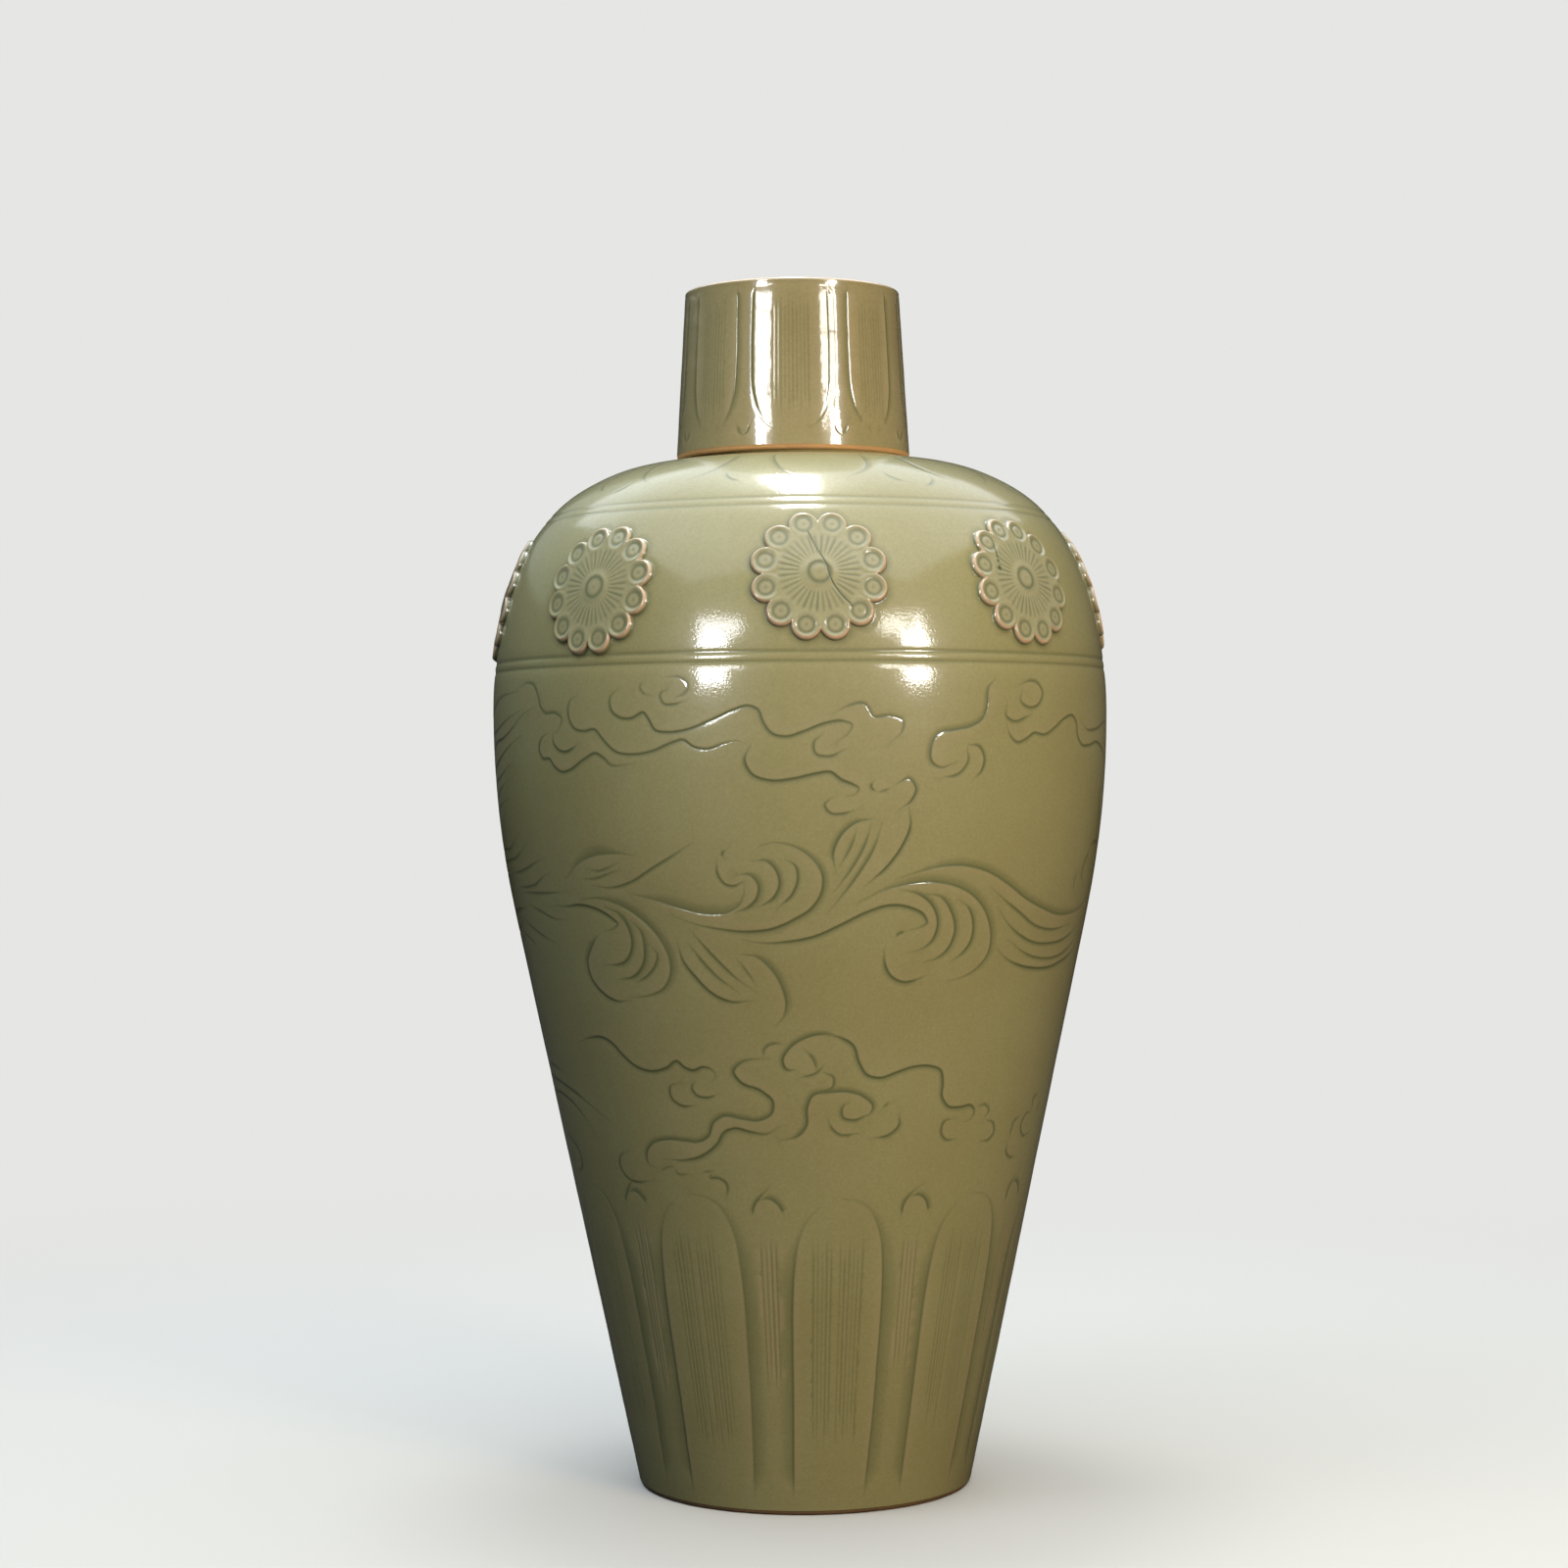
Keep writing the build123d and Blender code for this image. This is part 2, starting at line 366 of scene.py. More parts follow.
# The ribbon clouds that drift under the lower rings.
UPPER_CLOUDS = [
    left(((-62, 265.2), (-58.5, 266.6), (-56.2, 266), (-54.6, 262.5), (-53.6, 258.6), (-52.2, 256.8),
          (-49, 256.6), (-47.3, 254.9), (-47.9, 252), (-49.6, 250)), 1.2, 0.42),
    right(((-49.8, 250.6), (-49.6, 247.8), (-48.4, 245.6), (-46.4, 244.8), (-44.4, 245.8),
           (-43, 247)), 1.2),
    right(((-51.3, 250.4), (-53.2, 248.8), (-54.1, 245.6), (-53.2, 243), (-50.9, 242.6), (-49.6, 240.2),
           (-47.6, 238.5), (-45.4, 239.1), (-41.6, 242.4), (-38.6, 244.2), (-36.9, 242.7), (-35.2, 240.3),
           (-33.2, 240.2), (-30.3, 240.8)), 1.5, 0.46, 0.12, 0.3),
    right(((-43, 262), (-44.8, 260.4), (-45.2, 256), (-43.8, 252.1), (-41.4, 251.2), (-38.8, 251.6),
           (-36.8, 248.2), (-34.2, 244.6), (-30.6, 243.7), (-26.6, 244.7), (-22.8, 247.2), (-20.8, 248),
           (-18.8, 245.8), (-16.6, 245.1), (-13.2, 246.8), (-11.2, 247.3),
           (-10, 246.8)), 1.4, 0.44, 0.1, 0.15),
    right(((-33.4, 263.7), (-35.1, 261.4), (-34.9, 257.4), (-33, 255.1), (-30.8, 254.9), (-28.2, 256.5),
           (-27.2, 254.4), (-26, 251.1), (-23.6, 250.4), (-20, 251.1), (-15.6, 254), (-11.4, 257.2),
           (-9.2, 258.2), (-7.4, 257), (-6.4, 252.8), (-5, 249.6), (-2.6, 248.7), (0.4, 250.3), (4, 252.7),
           (7, 253.3), (8.7, 251.9), (8.1, 249.4), (6.2, 246.9)), 1.5, 0.46, 0.08, 0.14),
    line(((-28.1, 265.7), (-28.9, 264.6), (-28.2, 262.4), (-26.8, 261.6))),
    right(((-23.4, 263.4), (-24.9, 261.6), (-24.4, 259.3), (-22.4, 258.9), (-20.3, 259.7)), 1.1, 0.36),
    left(((-23.7, 267), (-21.4, 266.6), (-20, 264.4), (-20.5, 262.2), (-22.2, 260.8)), 1.1, 0.36),
    left(((5.4, 255.3), (8, 257.5), (10.8, 257.9), (11.5, 256.2), (12, 254.5), (15.4, 254.3), (17.5, 252.8),
          (17.3, 249.8), (15.2, 246.4)), 1.3, 0.42),
    right(((3.6, 249), (2.2, 246.6), (2.4, 243.4), (4.4, 242.5), (7.5, 244.6)), 1.1, 0.4),
    right(((-8.8, 245.5), (-9.7, 241.6), (-8.6, 237.4), (-5.4, 235.3), (-1.6, 235.8), (2.6, 237.4),
           (4.9, 237.8), (6.8, 235.4), (8.9, 233.8), (9.9, 232.6), (9.4, 230.8),
           (7.9, 229.9)), 1.8, 0.5, 0.12, 0.2),
    right(((5.3, 229.7), (4, 227.5), (4.9, 225.2), (7, 225), (9.3, 225.9)), 1.3, 0.4),
    right(((12.3, 234.4), (12.1, 232.9), (12.8, 231.7)), 1.5, 0.4),
    line(((13.2, 231.4), (14.2, 231.9), (15.4, 232.7))),
    left(((16.2, 233.4), (18.9, 234.9), (20, 232.4), (19.2, 228.8), (17.2, 226)), 1.5, 0.45),
    right(((36.2, 266.3), (34.7, 263.6), (34.4, 258.4), (33.6, 254.2), (31, 251.4), (27.4, 250),
           (24.3, 248.7), (23, 245.2), (23.1, 240.6), (24.5, 239), (28, 240.6)), 2.1, 0.55, 0.15, 0.25),
    left(((29.8, 245), (30.1, 241), (28.6, 237.4), (25, 235.5)), 1.1, 0.4),
    left(((30.1, 245.7), (32.4, 245), (33.5, 241.2), (32.8, 237.4), (31.3, 235.2)), 1.4, 0.45),
    right(((38.7, 258), (38.4, 255.4), (40.4, 253.3), (42.6, 254.2), (44.7, 255.6)), 1.2, 0.4),
    right(((38.4, 252.6), (39.4, 249), (41.2, 246.8), (43.2, 247.7), (45.4, 249.7), (48.3, 249.2),
           (51.4, 251.4), (55, 254.7), (57.6, 255.5), (59.3, 253.6), (60, 249), (61.8, 246.3), (65, 246),
           (70, 247.2), (74, 245.7), (77.4, 243), (79.4, 239), (79.6, 234)), 1.3, 0.42, 0.08, 0.2),
    right(((42.6, 262.7), (42, 260), (44, 257.8), (46.9, 259.2), (47.7, 262.3), (46.2, 265.2),
           (43.6, 265.4), (42, 264.4)), 1.2, 0.4, 0.2, 0.2),
    right(((61.5, 253.6), (63.8, 251.3), (67.4, 251.1), (71.5, 252), (76, 253.8), (80, 253.2)), 1.1, 0.4),
    right(((77.6, 233), (75.8, 230), (76.4, 226), (77.6, 221), (76.2, 217.4)), 1.6, 0.45),
]


# The long curled plumes of the bird's tail, streaming to the right.
TAIL_PLUMES = [
    left(((-49, 204.6), (-45.4, 209), (-41, 211.7), (-36.6, 212.4), (-32, 212)), 3.6, 0.75, 0.45, 0.45),
    line(((-42.6, 207.8), (-40.6, 207.2), (-38, 208.3), (-35.2, 209.9))),
    line(((-45, 204.6), (-41.4, 204.9), (-38, 206.4), (-34.8, 207.6))),
    right(((-41.6, 202.5), (-38.2, 202), (-33.4, 203.7), (-27.8, 208.6), (-23.4, 212.6),
           (-19.8, 216.2)), 1.1, 0.42),
    line(((-71, 200.9), (-65, 201.4), (-61, 202.4), (-58, 204.4), (-54.8, 206.2)), 1.1, 0.34),
    line(((-74, 205.3), (-67, 206.5), (-60, 209.2), (-55.6, 211.2)), 1.1, 0.34),
    line(((-68, 199.5), (-60, 199.6), (-50.4, 200.2)), 1.1, 0.34),
    line(((-66, 195.4), (-60, 193.3), (-56, 191.6), (-52, 191.2)), 1.1, 0.34),
    line(((-73, 191), (-66, 187.6), (-60, 184.8), (-55.4, 182.8)), 1.1, 0.34),
    line(((-76, 186.6), (-71.5, 184.8), (-66.8, 182.4)), 1.1, 0.34),
    right(((-86, 192.4), (-80, 192.9), (-74, 193.8), (-69, 194.2)), 2.2, 0.6, 0.2, 0.4),
    right(((-54.6, 195.7), (-51, 195.6), (-46.6, 196.4), (-42, 195.2), (-38.6, 192.6), (-37.1, 190.4),
           (-38.2, 188.9), (-40, 188.1)), 1.7, 0.5, 0.4, 0.25),
    left(((-45.5, 197.9), (-41, 198.1), (-36.6, 196.4), (-32.2, 192.5), (-28.4, 186.4), (-26.6, 180),
          (-26.6, 175.6), (-28.4, 170.7), (-31.8, 168.3), (-37, 167.1)), 3.1, 0.8, 0.35, 0.35),
    left(((-36.5, 166.3), (-40.6, 166.1), (-44.4, 168.9), (-46.7, 173.2), (-46.9, 178.2), (-45, 182.8),
          (-42.7, 186.8)), 2.2, 0.65, 0.3, 0.15),
    left(((-39.6, 195.5), (-36.8, 193.5), (-34.9, 189), (-34.7, 183.4), (-36.6, 179), (-39.2, 177.6),
          (-42, 177.4)), 1.9, 0.55),
    left(((-33.8, 191), (-32.3, 188.6), (-31.8, 183.6), (-32.6, 178), (-35, 174.3),
          (-39, 172.9)), 2.2, 0.6),
    left(((-30.2, 183.6), (-29.1, 181.4), (-29.9, 177.6), (-32, 174.4), (-34.8, 172)), 1.2, 0.42),
    left(((-33.5, 200), (-28, 197.9), (-22.6, 195.3), (-17.6, 193.7), (-14, 194.2), (-11.6, 196.7),
          (-10.6, 200), (-10.5, 203.4)), 3.6, 0.75, 0.35, 0.35),
    right(((-24.5, 193.3), (-21, 191.2), (-16, 189.6), (-9.6, 188.8), (-5.4, 189.8), (-1.6, 192.6),
           (1.5, 196), (3.3, 201), (3.4, 206), (1.2, 211.6), (-2.6, 215.2), (-5.4, 215.9),
           (-7.5, 214.9)), 2.3, 0.65, 0.4, 0.3),
    right(((-13.6, 213.6), (-14.2, 212.6), (-14, 211.8)), 1.1, 0.4),
    right(((-15.3, 210.8), (-15.2, 206.4), (-13.8, 203.3), (-12.2, 203), (-10.4, 204.7)), 1.0, 0.42),
    left(((-11.5, 206.1), (-9.6, 206), (-8.1, 203), (-8.4, 199.4), (-10, 196.4), (-12.4, 194.6)), 2.3, 0.6),
    left(((-8.9, 210.3), (-6.6, 210.3), (-4.8, 207.3), (-4.3, 203), (-5.4, 199.2),
          (-8.3, 196.1)), 2.0, 0.55),
    left(((-3.1, 210.6), (-1.6, 209.2), (-1, 205.4), (-1.9, 200.6), (-4.7, 195.9)), 1.5, 0.45),
    right(((-24.2, 185), (-23.6, 180.2), (-21.2, 174.6), (-17.4, 168.8), (-14, 166.8),
           (-10, 167.2)), 1.8, 0.55),
    line(((-21.6, 189.3), (-19.2, 184.8), (-15.6, 178.4), (-12, 173), (-9.8, 170.8)), 1.3, 0.4),
    line(((-22, 185), (-19.6, 179.8), (-16.4, 174.2), (-12.6, 169.8)), 1.2, 0.38),
    line(((-12.4, 179.9), (-10.6, 176), (-9.1, 172))),
    left(((-11.6, 181.4), (-9.2, 180.7), (-6.2, 176.7), (-4.2, 171), (-3.5, 165.6), (-4.3, 161.4),
          (-5.3, 159.7)), 2.5, 0.65, 0.3, 0.3),
    right(((-11.5, 186.2), (-8, 185.2), (-3, 185.6), (2.4, 187.4), (7, 190.8), (11.6, 194.5), (16, 196.6),
           (20.2, 195.7), (23.2, 192.9), (23.8, 190.6), (22.4, 189.2),
           (20.4, 188.4)), 1.8, 0.55, 0.3, 0.15),
    right(((19.3, 187.9), (18.4, 187.4), (17.6, 186.5)), 1.2, 0.42),
    right(((15.5, 182.7), (15.8, 178.6), (17.2, 174.5), (19.8, 172.5), (22.2, 173),
           (24.1, 174.1)), 1.9, 0.6),
    left(((17, 204.3), (21, 206.2), (25.4, 207.8), (30.4, 208.1), (36, 206), (41.4, 201.8), (46.6, 197.2),
          (52.6, 193.7), (58.6, 191.4), (65, 191.2), (70.6, 192.5), (76, 196),
          (80, 200)), 2.7, 0.7, 0.2, 0.35),
    left(((10.6, 197.6), (14.4, 200.6), (19.4, 202.6), (25, 203), (30, 201.2), (34.2, 197.3), (37.2, 191.4),
          (38.6, 185), (38.4, 180.6), (36, 175.9), (32.6, 173.2), (29.3, 172.2)), 3.0, 0.75, 0.25, 0.3),
    left(((18, 201), (21.2, 199.7), (24.5, 195.7), (25.8, 190.4), (25, 185.4), (23, 182.7),
          (21.2, 181.9)), 1.9, 0.5),
    left(((23.3, 199.6), (25.8, 198.7), (28.5, 193.9), (29.7, 188), (28.6, 182.6), (26.2, 179.5),
          (23.8, 178.6)), 2.1, 0.58),
    left(((30.4, 197.3), (32.2, 195), (33.8, 189.2), (33.6, 184.6), (31.9, 180.8),
          (29.6, 178.5)), 1.9, 0.5),
    right(((37, 201.4), (41, 197.2), (45.6, 193.1), (50.4, 189), (55.6, 187.1), (60.6, 187),
           (65.6, 188.2)), 1.3, 0.42),
    right(((39.4, 194.7), (42.6, 189.8), (46.6, 185.9), (51.4, 183.2), (57.4, 182.4), (63.6, 183.2),
           (69, 185.6), (73.4, 189)), 1.4, 0.44),
    right(((43.6, 184.4), (47.4, 181), (52.4, 178.4), (58, 177.5), (64, 178.3), (69.6, 181.2),
           (74, 185)), 1.2, 0.4),
    right(((40.4, 182.1), (43.4, 178.7), (48.2, 176), (53.6, 174.7), (58.6, 174.5), (64.6, 175.9),
           (70, 178), (75.6, 182.4)), 1.6, 0.5),
    left(((5.9, 207.3), (5.5, 212.4), (6.9, 218.2), (9.4, 221.8), (12.5, 223)), 2.1, 0.6),
    left(((18.8, 226.5), (19.2, 221.4), (18, 215.6), (15.6, 209.5), (11.4, 202.7)), 1.4, 0.5),
    line(((9.5, 219.8), (8.8, 215.2), (6.6, 208.4)), 1.3, 0.36),
    line(((12.2, 221.9), (11.2, 215.4), (8.7, 207.4), (5.6, 200.6)), 1.4, 0.4),
    line(((14.1, 221.7), (12.9, 214.6), (9.9, 205.6), (4.8, 194.6)), 1.4, 0.42),
    right(((65.4, 205), (64.5, 202), (64.9, 198.8)), 0.9, 0.34),
    right(((71.6, 213.6), (71, 210.6), (69, 207.4), (68.4, 203.6), (70, 200.8)), 1.5, 0.45),
    right(((71.6, 213.4), (75, 214.6), (79, 214)), 1.2, 0.4),
]


# The clouds between the tail and the petals.
LOWER_CLOUDS = [
    right(((-54.8, 151.6), (-50.6, 153.5), (-46.8, 154), (-44, 152.6), (-41, 148.6), (-37.6, 145.2),
           (-33.6, 144.1), (-30, 145.4), (-27.2, 147.7), (-25.6, 145.8), (-23.8, 144.9), (-21.4, 146.1),
           (-19.6, 145.4), (-18.6, 143.4), (-18.9, 142)), 1.7, 0.5, 0.2, 0.15),
    right(((-27.6, 140.3), (-29.4, 139.2), (-29.5, 135.8), (-27.6, 133.6), (-23.8, 133.5)), 1.4, 0.42),
    right(((-23.4, 141.2), (-24.3, 139.4), (-23.4, 137), (-21, 136.4), (-18.6, 137.4)), 1.4, 0.42),
    right(((-44.2, 117), (-47, 115.4), (-47.8, 111.8), (-45.8, 108.3), (-42.4, 107.5),
           (-38.4, 108.2)), 1.3, 0.42),
    left(((-36.6, 112.7), (-38.2, 113.6), (-38.2, 117.6), (-36.4, 120.2), (-32, 121.9), (-27.6, 121.8),
          (-24, 121.7), (-21.4, 123.8), (-20, 128.1), (-17.6, 130.2), (-13.4, 129.4), (-9.8, 129),
          (-6.8, 131.5), (-6.5, 135.2), (-9.2, 139), (-13.2, 141.4), (-14.6, 144.6), (-12.8, 147.4),
          (-9.6, 148.6), (-7.5, 148.6)), 1.9, 0.52, 0.08, 0.15),
    right(((-33.6, 115.8), (-28.4, 115.8), (-23.4, 117.8), (-19.9, 121.4), (-17.8, 125.5), (-15.2, 126.8),
           (-11.8, 125.7), (-8.4, 125.1), (-5, 127.8)), 1.9, 0.5),
    left(((-8.2, 149.3), (-7.8, 151.9), (-6.2, 153.3), (-4.4, 153.4)), 1.1, 0.38),
    left(((-1.6, 145.4), (-3.5, 145.6), (-4.2, 148.2), (-2.8, 152), (0.4, 155.2), (4.8, 156.3),
          (7.6, 155.4)), 1.9, 0.5, 0.15, 0.3),
    right(((3.6, 156.2), (7.4, 155.5), (10.2, 152.9), (11.6, 147.4), (13.4, 143.5), (16, 142.5),
           (19.6, 144), (23.4, 145.6), (27.6, 145.5), (30.2, 143.9), (31.1, 140), (31.3, 135.4),
           (33.2, 132.2), (36.4, 131.7), (39.6, 131.9), (40.9, 130.2), (40.3, 127.5),
           (38.7, 126.6)), 1.8, 0.52, 0.12, 0.12),
    left(((0.4, 151), (1.6, 149), (2.6, 145.2)), 1.2, 0.4),
    left(((4, 146.6), (2.4, 144.4), (-0.7, 143)), 0.9, 0.34),
    left(((3.9, 144.3), (6, 142.6), (6, 140.2), (2.3, 138.2)), 1.1, 0.38),
    left(((-4.8, 122.9), (-1.4, 124), (0.6, 127.4), (0.8, 133.6), (1.8, 136.8), (5.6, 137.9), (9.6, 137.9),
          (12.6, 136.3), (14.8, 132.8), (14.1, 130.9), (12.6, 130.2)), 2.0, 0.52, 0.15, 0.15),
    right(((9.8, 134.8), (8.5, 133.6), (8.5, 130.2), (10.6, 129.3), (14, 131)), 1.6, 0.42),
    right(((5.2, 129.4), (6, 127), (7.6, 124.9), (11.9, 124.9)), 1.1, 0.38),
    line(((17.1, 132.4), (17.6, 133.7), (18.9, 134.5))),
    left(((20.9, 130.5), (20.9, 126.8), (19, 124.3), (15.5, 123.2)), 1.6, 0.45),
    right(((34.8, 127.8), (32.7, 127.2), (32.2, 123.7), (33.6, 121.5), (36.2, 121.3)), 1.3, 0.42),
    left(((41.6, 130.9), (43.8, 131.3), (45.3, 129.4), (44.1, 127.3)), 1.0, 0.36),
    left(((45, 126.4), (47.6, 124.8), (48.3, 122), (46.8, 120), (44.1, 119.7)), 1.3, 0.42),
    right(((58.4, 125.8), (56.6, 124.5), (55.4, 119.4)), 1.1, 0.38),
    right(((55.1, 117.8), (55, 115.2), (56.8, 113.2), (59.8, 112.6)), 1.2, 0.4),
    right(((65, 126.5), (61.6, 125.8), (60.3, 122.7), (61.9, 119.6), (66, 119.9)), 1.3, 0.42),
    right(((67, 132.2), (64.9, 131), (64.8, 127.4)), 1.2, 0.4),
    left(((69.2, 130), (69.3, 127.6), (68, 126.4)), 1.0, 0.38),
    line(((-31.3, 113.3), (-32.8, 112.7), (-35, 111.7))),
    line(((-31.2, 113.2), (-30.4, 111.5), (-27.4, 111.4))),
    line(((-23.5, 112.4), (-21.2, 112.8)), 0.8, 0.3),
    left(((-21.4, 112.7), (-22.2, 110.3), (-20, 110), (-18.4, 108.4), (-18.3, 105.8),
          (-18.8, 104)), 1.3, 0.42),
]


# The long sweeps at the left, between the tail and the petals.
LEFT_SWEEPS = [
    right(((-80, 142), (-74, 142.2), (-67, 140.7)), 1.1, 0.38),
    right(((-90, 140.4), (-80, 138.4), (-70, 137), (-62, 134.6), (-56, 131.2),
           (-49, 126.4)), 1.9, 0.55, 0.2, 0.45),
    right(((-90, 134), (-80, 133.1), (-70, 132.9), (-63, 129.9), (-58, 124.8),
           (-54.8, 120)), 1.5, 0.5, 0.2, 0.4),
    left(((-76, 120), (-71.5, 117.2), (-67.6, 113.9), (-67.2, 110.6), (-68.8, 108.1),
          (-71.8, 107.6)), 1.6, 0.48),
]


def bird() -> list[Cut]:
    """The bird itself, at the left and out of sight behind: wings, breast, neck and head.

    Returns:
        Its strokes.
    """
    feathers = [
        line(((-97, 237), (-90, 246), (-84, 251), (-77, 252.2), (-70, 254.8), (-60, 258.8)), 1.4, 0.42),
        line(((-96, 231), (-90, 239), (-84, 245), (-77, 248.4), (-70, 250), (-65, 252.9), (-60, 257),
              (-55.5, 258.9)), 1.5, 0.45),
        line(((-96, 226), (-90, 233), (-84, 238.4), (-77, 241.6), (-70, 245.3), (-60.7, 250.3)), 1.5, 0.45),
        line(((-95, 222), (-88, 229), (-82, 234.6), (-75, 237), (-65, 242)), 1.3, 0.4),
        line(((-94, 218), (-87, 225.5), (-80, 230.7), (-68, 236.2)), 1.4, 0.42),
        line(((-93, 214), (-86, 221), (-80, 226.2), (-70, 229.8)), 1.3, 0.4),
        line(((-90, 211.6), (-80, 213.1), (-72, 214), (-65, 219.4)), 1.2, 0.38),
        line(((-86, 208.6), (-76, 209.6), (-68, 211.4), (-62, 215.9)), 1.2, 0.38),
    ]
    body = [
        right(((-72, 190), (-82, 185.4), (-94, 182.6), (-104, 185), (-111, 193), (-115.4, 203),
               (-119, 213)), 2.2, 0.6),
        left(((-76, 203.6), (-88, 206.4), (-98, 208.6), (-104, 214), (-108, 222),
              (-112.6, 230.4)), 1.8, 0.55),
        left(((-112.6, 230.4), (-116.4, 234.4), (-121, 233.6), (-124, 230.4), (-128.6, 228)), 1.5, 0.5),
        right(((-128.6, 228), (-124.4, 226.4), (-121.4, 223.6), (-119.6, 218), (-119, 213)), 1.3, 0.45),
        right(((-118.4, 230.2), (-119.6, 231), (-120.6, 230), (-119.4, 229.2)), 0.8, 0.35),
        left(((-115, 234.4), (-111, 239.6), (-105.6, 241.4), (-102.4, 238.4)), 1.6, 0.5),
        left(((-113.6, 232.2), (-108.4, 235), (-103.8, 233.6)), 1.3, 0.45),
        right(((-122.4, 223.8), (-124, 220.4), (-121.8, 218)), 1.2, 0.4),
        left(((-103.6, 209), (-104.6, 220), (-100, 234), (-92, 247), (-82, 257), (-72, 262.4),
              (-62, 264.4)), 2.4, 0.65),
        right(((-102, 184.6), (-108, 172), (-108, 158), (-102, 147), (-92, 141)), 2.0, 0.6),
        line(((-98, 181), (-101, 168), (-99, 156), (-90, 148), (-80, 145.4)), 1.3, 0.42),
        line(((-92, 180.4), (-94, 170), (-90, 160), (-82, 153)), 1.3, 0.42),
    ]
    breast = ((-98, 197), (-103, 193), (-103, 201), (-108, 198), (-108, 206), (-93, 193), (-93, 201),
              (-112, 206), (-111, 213), (-88, 197))
    scales = [
        right(((turn, height + 2.4), (turn - 2.6, height), (turn, height - 2.4)), 1.2, 0.4)
        for turn, height in breast
    ]
    return feathers + body + scales


# Edges of an upright petal, as (degrees from its middle, height), drawn upwards from the foot.
PETAL_LEFT = ((-12.5, 6.5), (-12.3, 20), (-12, 38), (-11.9, 56), (-11.7, 70), (-11.1, 81), (-10.3, 88.4),
              (-9, 94), (-7.3, 98), (-5.4, 100.6))
PETAL_RIGHT = ((10.3, 6), (10.9, 18), (11.4, 32), (11.6, 52), (11.6, 70), (11.1, 82), (10.3, 90),
               (8.9, 95.7), (6.9, 100), (4, 102.6), (0.6, 103.5))


@dataclass
class Petals:
    """The ring of tall upright petals round the lower body.

    Attributes:
        count: Number of main petals.
        first: Degrees of the front petal's middle.
        sway: Most that a hand-drawn petal strays from its place, in degrees.
        stretch: Most that its crown strays up or down.
    """

    count: int = 10
    first: float = 8.5
    sway: float = 0.5
    stretch: float = 1.2

    def strokes(self) -> Strokes:
        """Lays out the petals, their small partners between them, and the combed lines.

        Returns:
            The cuts and the combed bands.
        """
        cuts: list[Cut] = []
        combs: list[Comb] = []
        hand = np.random.default_rng(11)
        pitch = 360 / self.count
        true_ones = (0, 1, self.count - 1)
        for number in range(self.count):
            stray, tall, tilt = hand.uniform(-1, 1, 3)
            middle = self.first + number * pitch + stray * self.sway * (number not in true_ones)
            lift = tall * self.stretch * (number != 0)
            cuts.append(left(self._edge(PETAL_LEFT, middle, lift), 5.2, 0.8, 0.1, 0.3))
            cuts.append(right(self._edge(PETAL_RIGHT, middle, lift), 5.6, 0.85, 0.1, 0.32))
            gap = middle - pitch / 2 + 0.4
            rising = ((gap - 3.2, 99 + lift), (gap - 2.7, 101.6), (gap - 1.4, 104.2), (gap + 1, 107.6 + lift))
            falling = ((gap - 1.3, 103.6), (gap + 0.9, 103.9), (gap + 2.7, 102.3), (gap + 3.9, 99.6 + lift))
            cuts.append(left(rising, 1.5, 0.42, 0.15, 0.6))
            cuts.append(left(falling, 2.2, 0.5, 0.4, 0.06))
            combs.append(Comb(middle - 0.4, 20 + 4 * tilt, 96 + 2 * stray, 12, 1.12, 0.12, 0.5 * tilt, 5))
            combs.append(Comb(gap + 0.3, 40 - 6 * tall, 96 + 3 * stray, 4, 1.22, 0.18, -0.6 * tilt))
        return Strokes(cuts, combs)

    @staticmethod
    def _edge(shape: Path, middle: float, lift: float) -> Path:
        """One edge of a petal in its place, stretched upwards by the lift."""
        return tuple((middle + turn, height + lift * height / 100) for turn, height in shape)


def shoulder_petals() -> list[Cut]:
    """The soft petals that fall from under the cap.

    Returns:
        Their strokes.
    """
    petal = (
        left(((13.6, 339.6), (12.6, 336.6), (9.6, 332.8), (5.4, 330.4)), 2.6, 0.42, 0.1, 0.5),
        right(((-14, 339.6), (-12.8, 336.4), (-9.4, 332.4), (-5, 330)), 2.6, 0.42, 0.1, 0.5),
        right(((15, 332.4), (16.6, 330.6), (19.4, 329.2)), 1.6, 0.36),
        left(((28, 331.2), (26.6, 329.4), (24.2, 327.9)), 1.6, 0.36),
    )
    middles = (-33.5, 6.3, 46.8, 87, 127, 166.5, 206, 246, 286)
    return [stroke.turned(middle) for middle in middles for stroke in petal]


# Degrees to where the clouds and some of the plumes come again on the far side.
CLOUDS_AGAIN = 157
PLUMES_AGAIN = 180
REPEATED_PLUMES = slice(20, 36)


def body_strokes() -> Strokes:
    """Every stroke on the body.

    Returns:
        The cuts and the combed bands.
    """
    clouds, petals = UPPER_CLOUDS + LOWER_CLOUDS, Petals().strokes()
    cuts = [
        *clouds, *LEFT_SWEEPS, *(cut.turned(CLOUDS_AGAIN) for cut in clouds), *TAIL_PLUMES,
        *(cut.turned(PLUMES_AGAIN) for cut in TAIL_PLUMES[REPEATED_PLUMES]),
        *bird(), *shoulder_petals(), *petals.cuts,
    ]
    return Strokes(cuts, petals.combs)


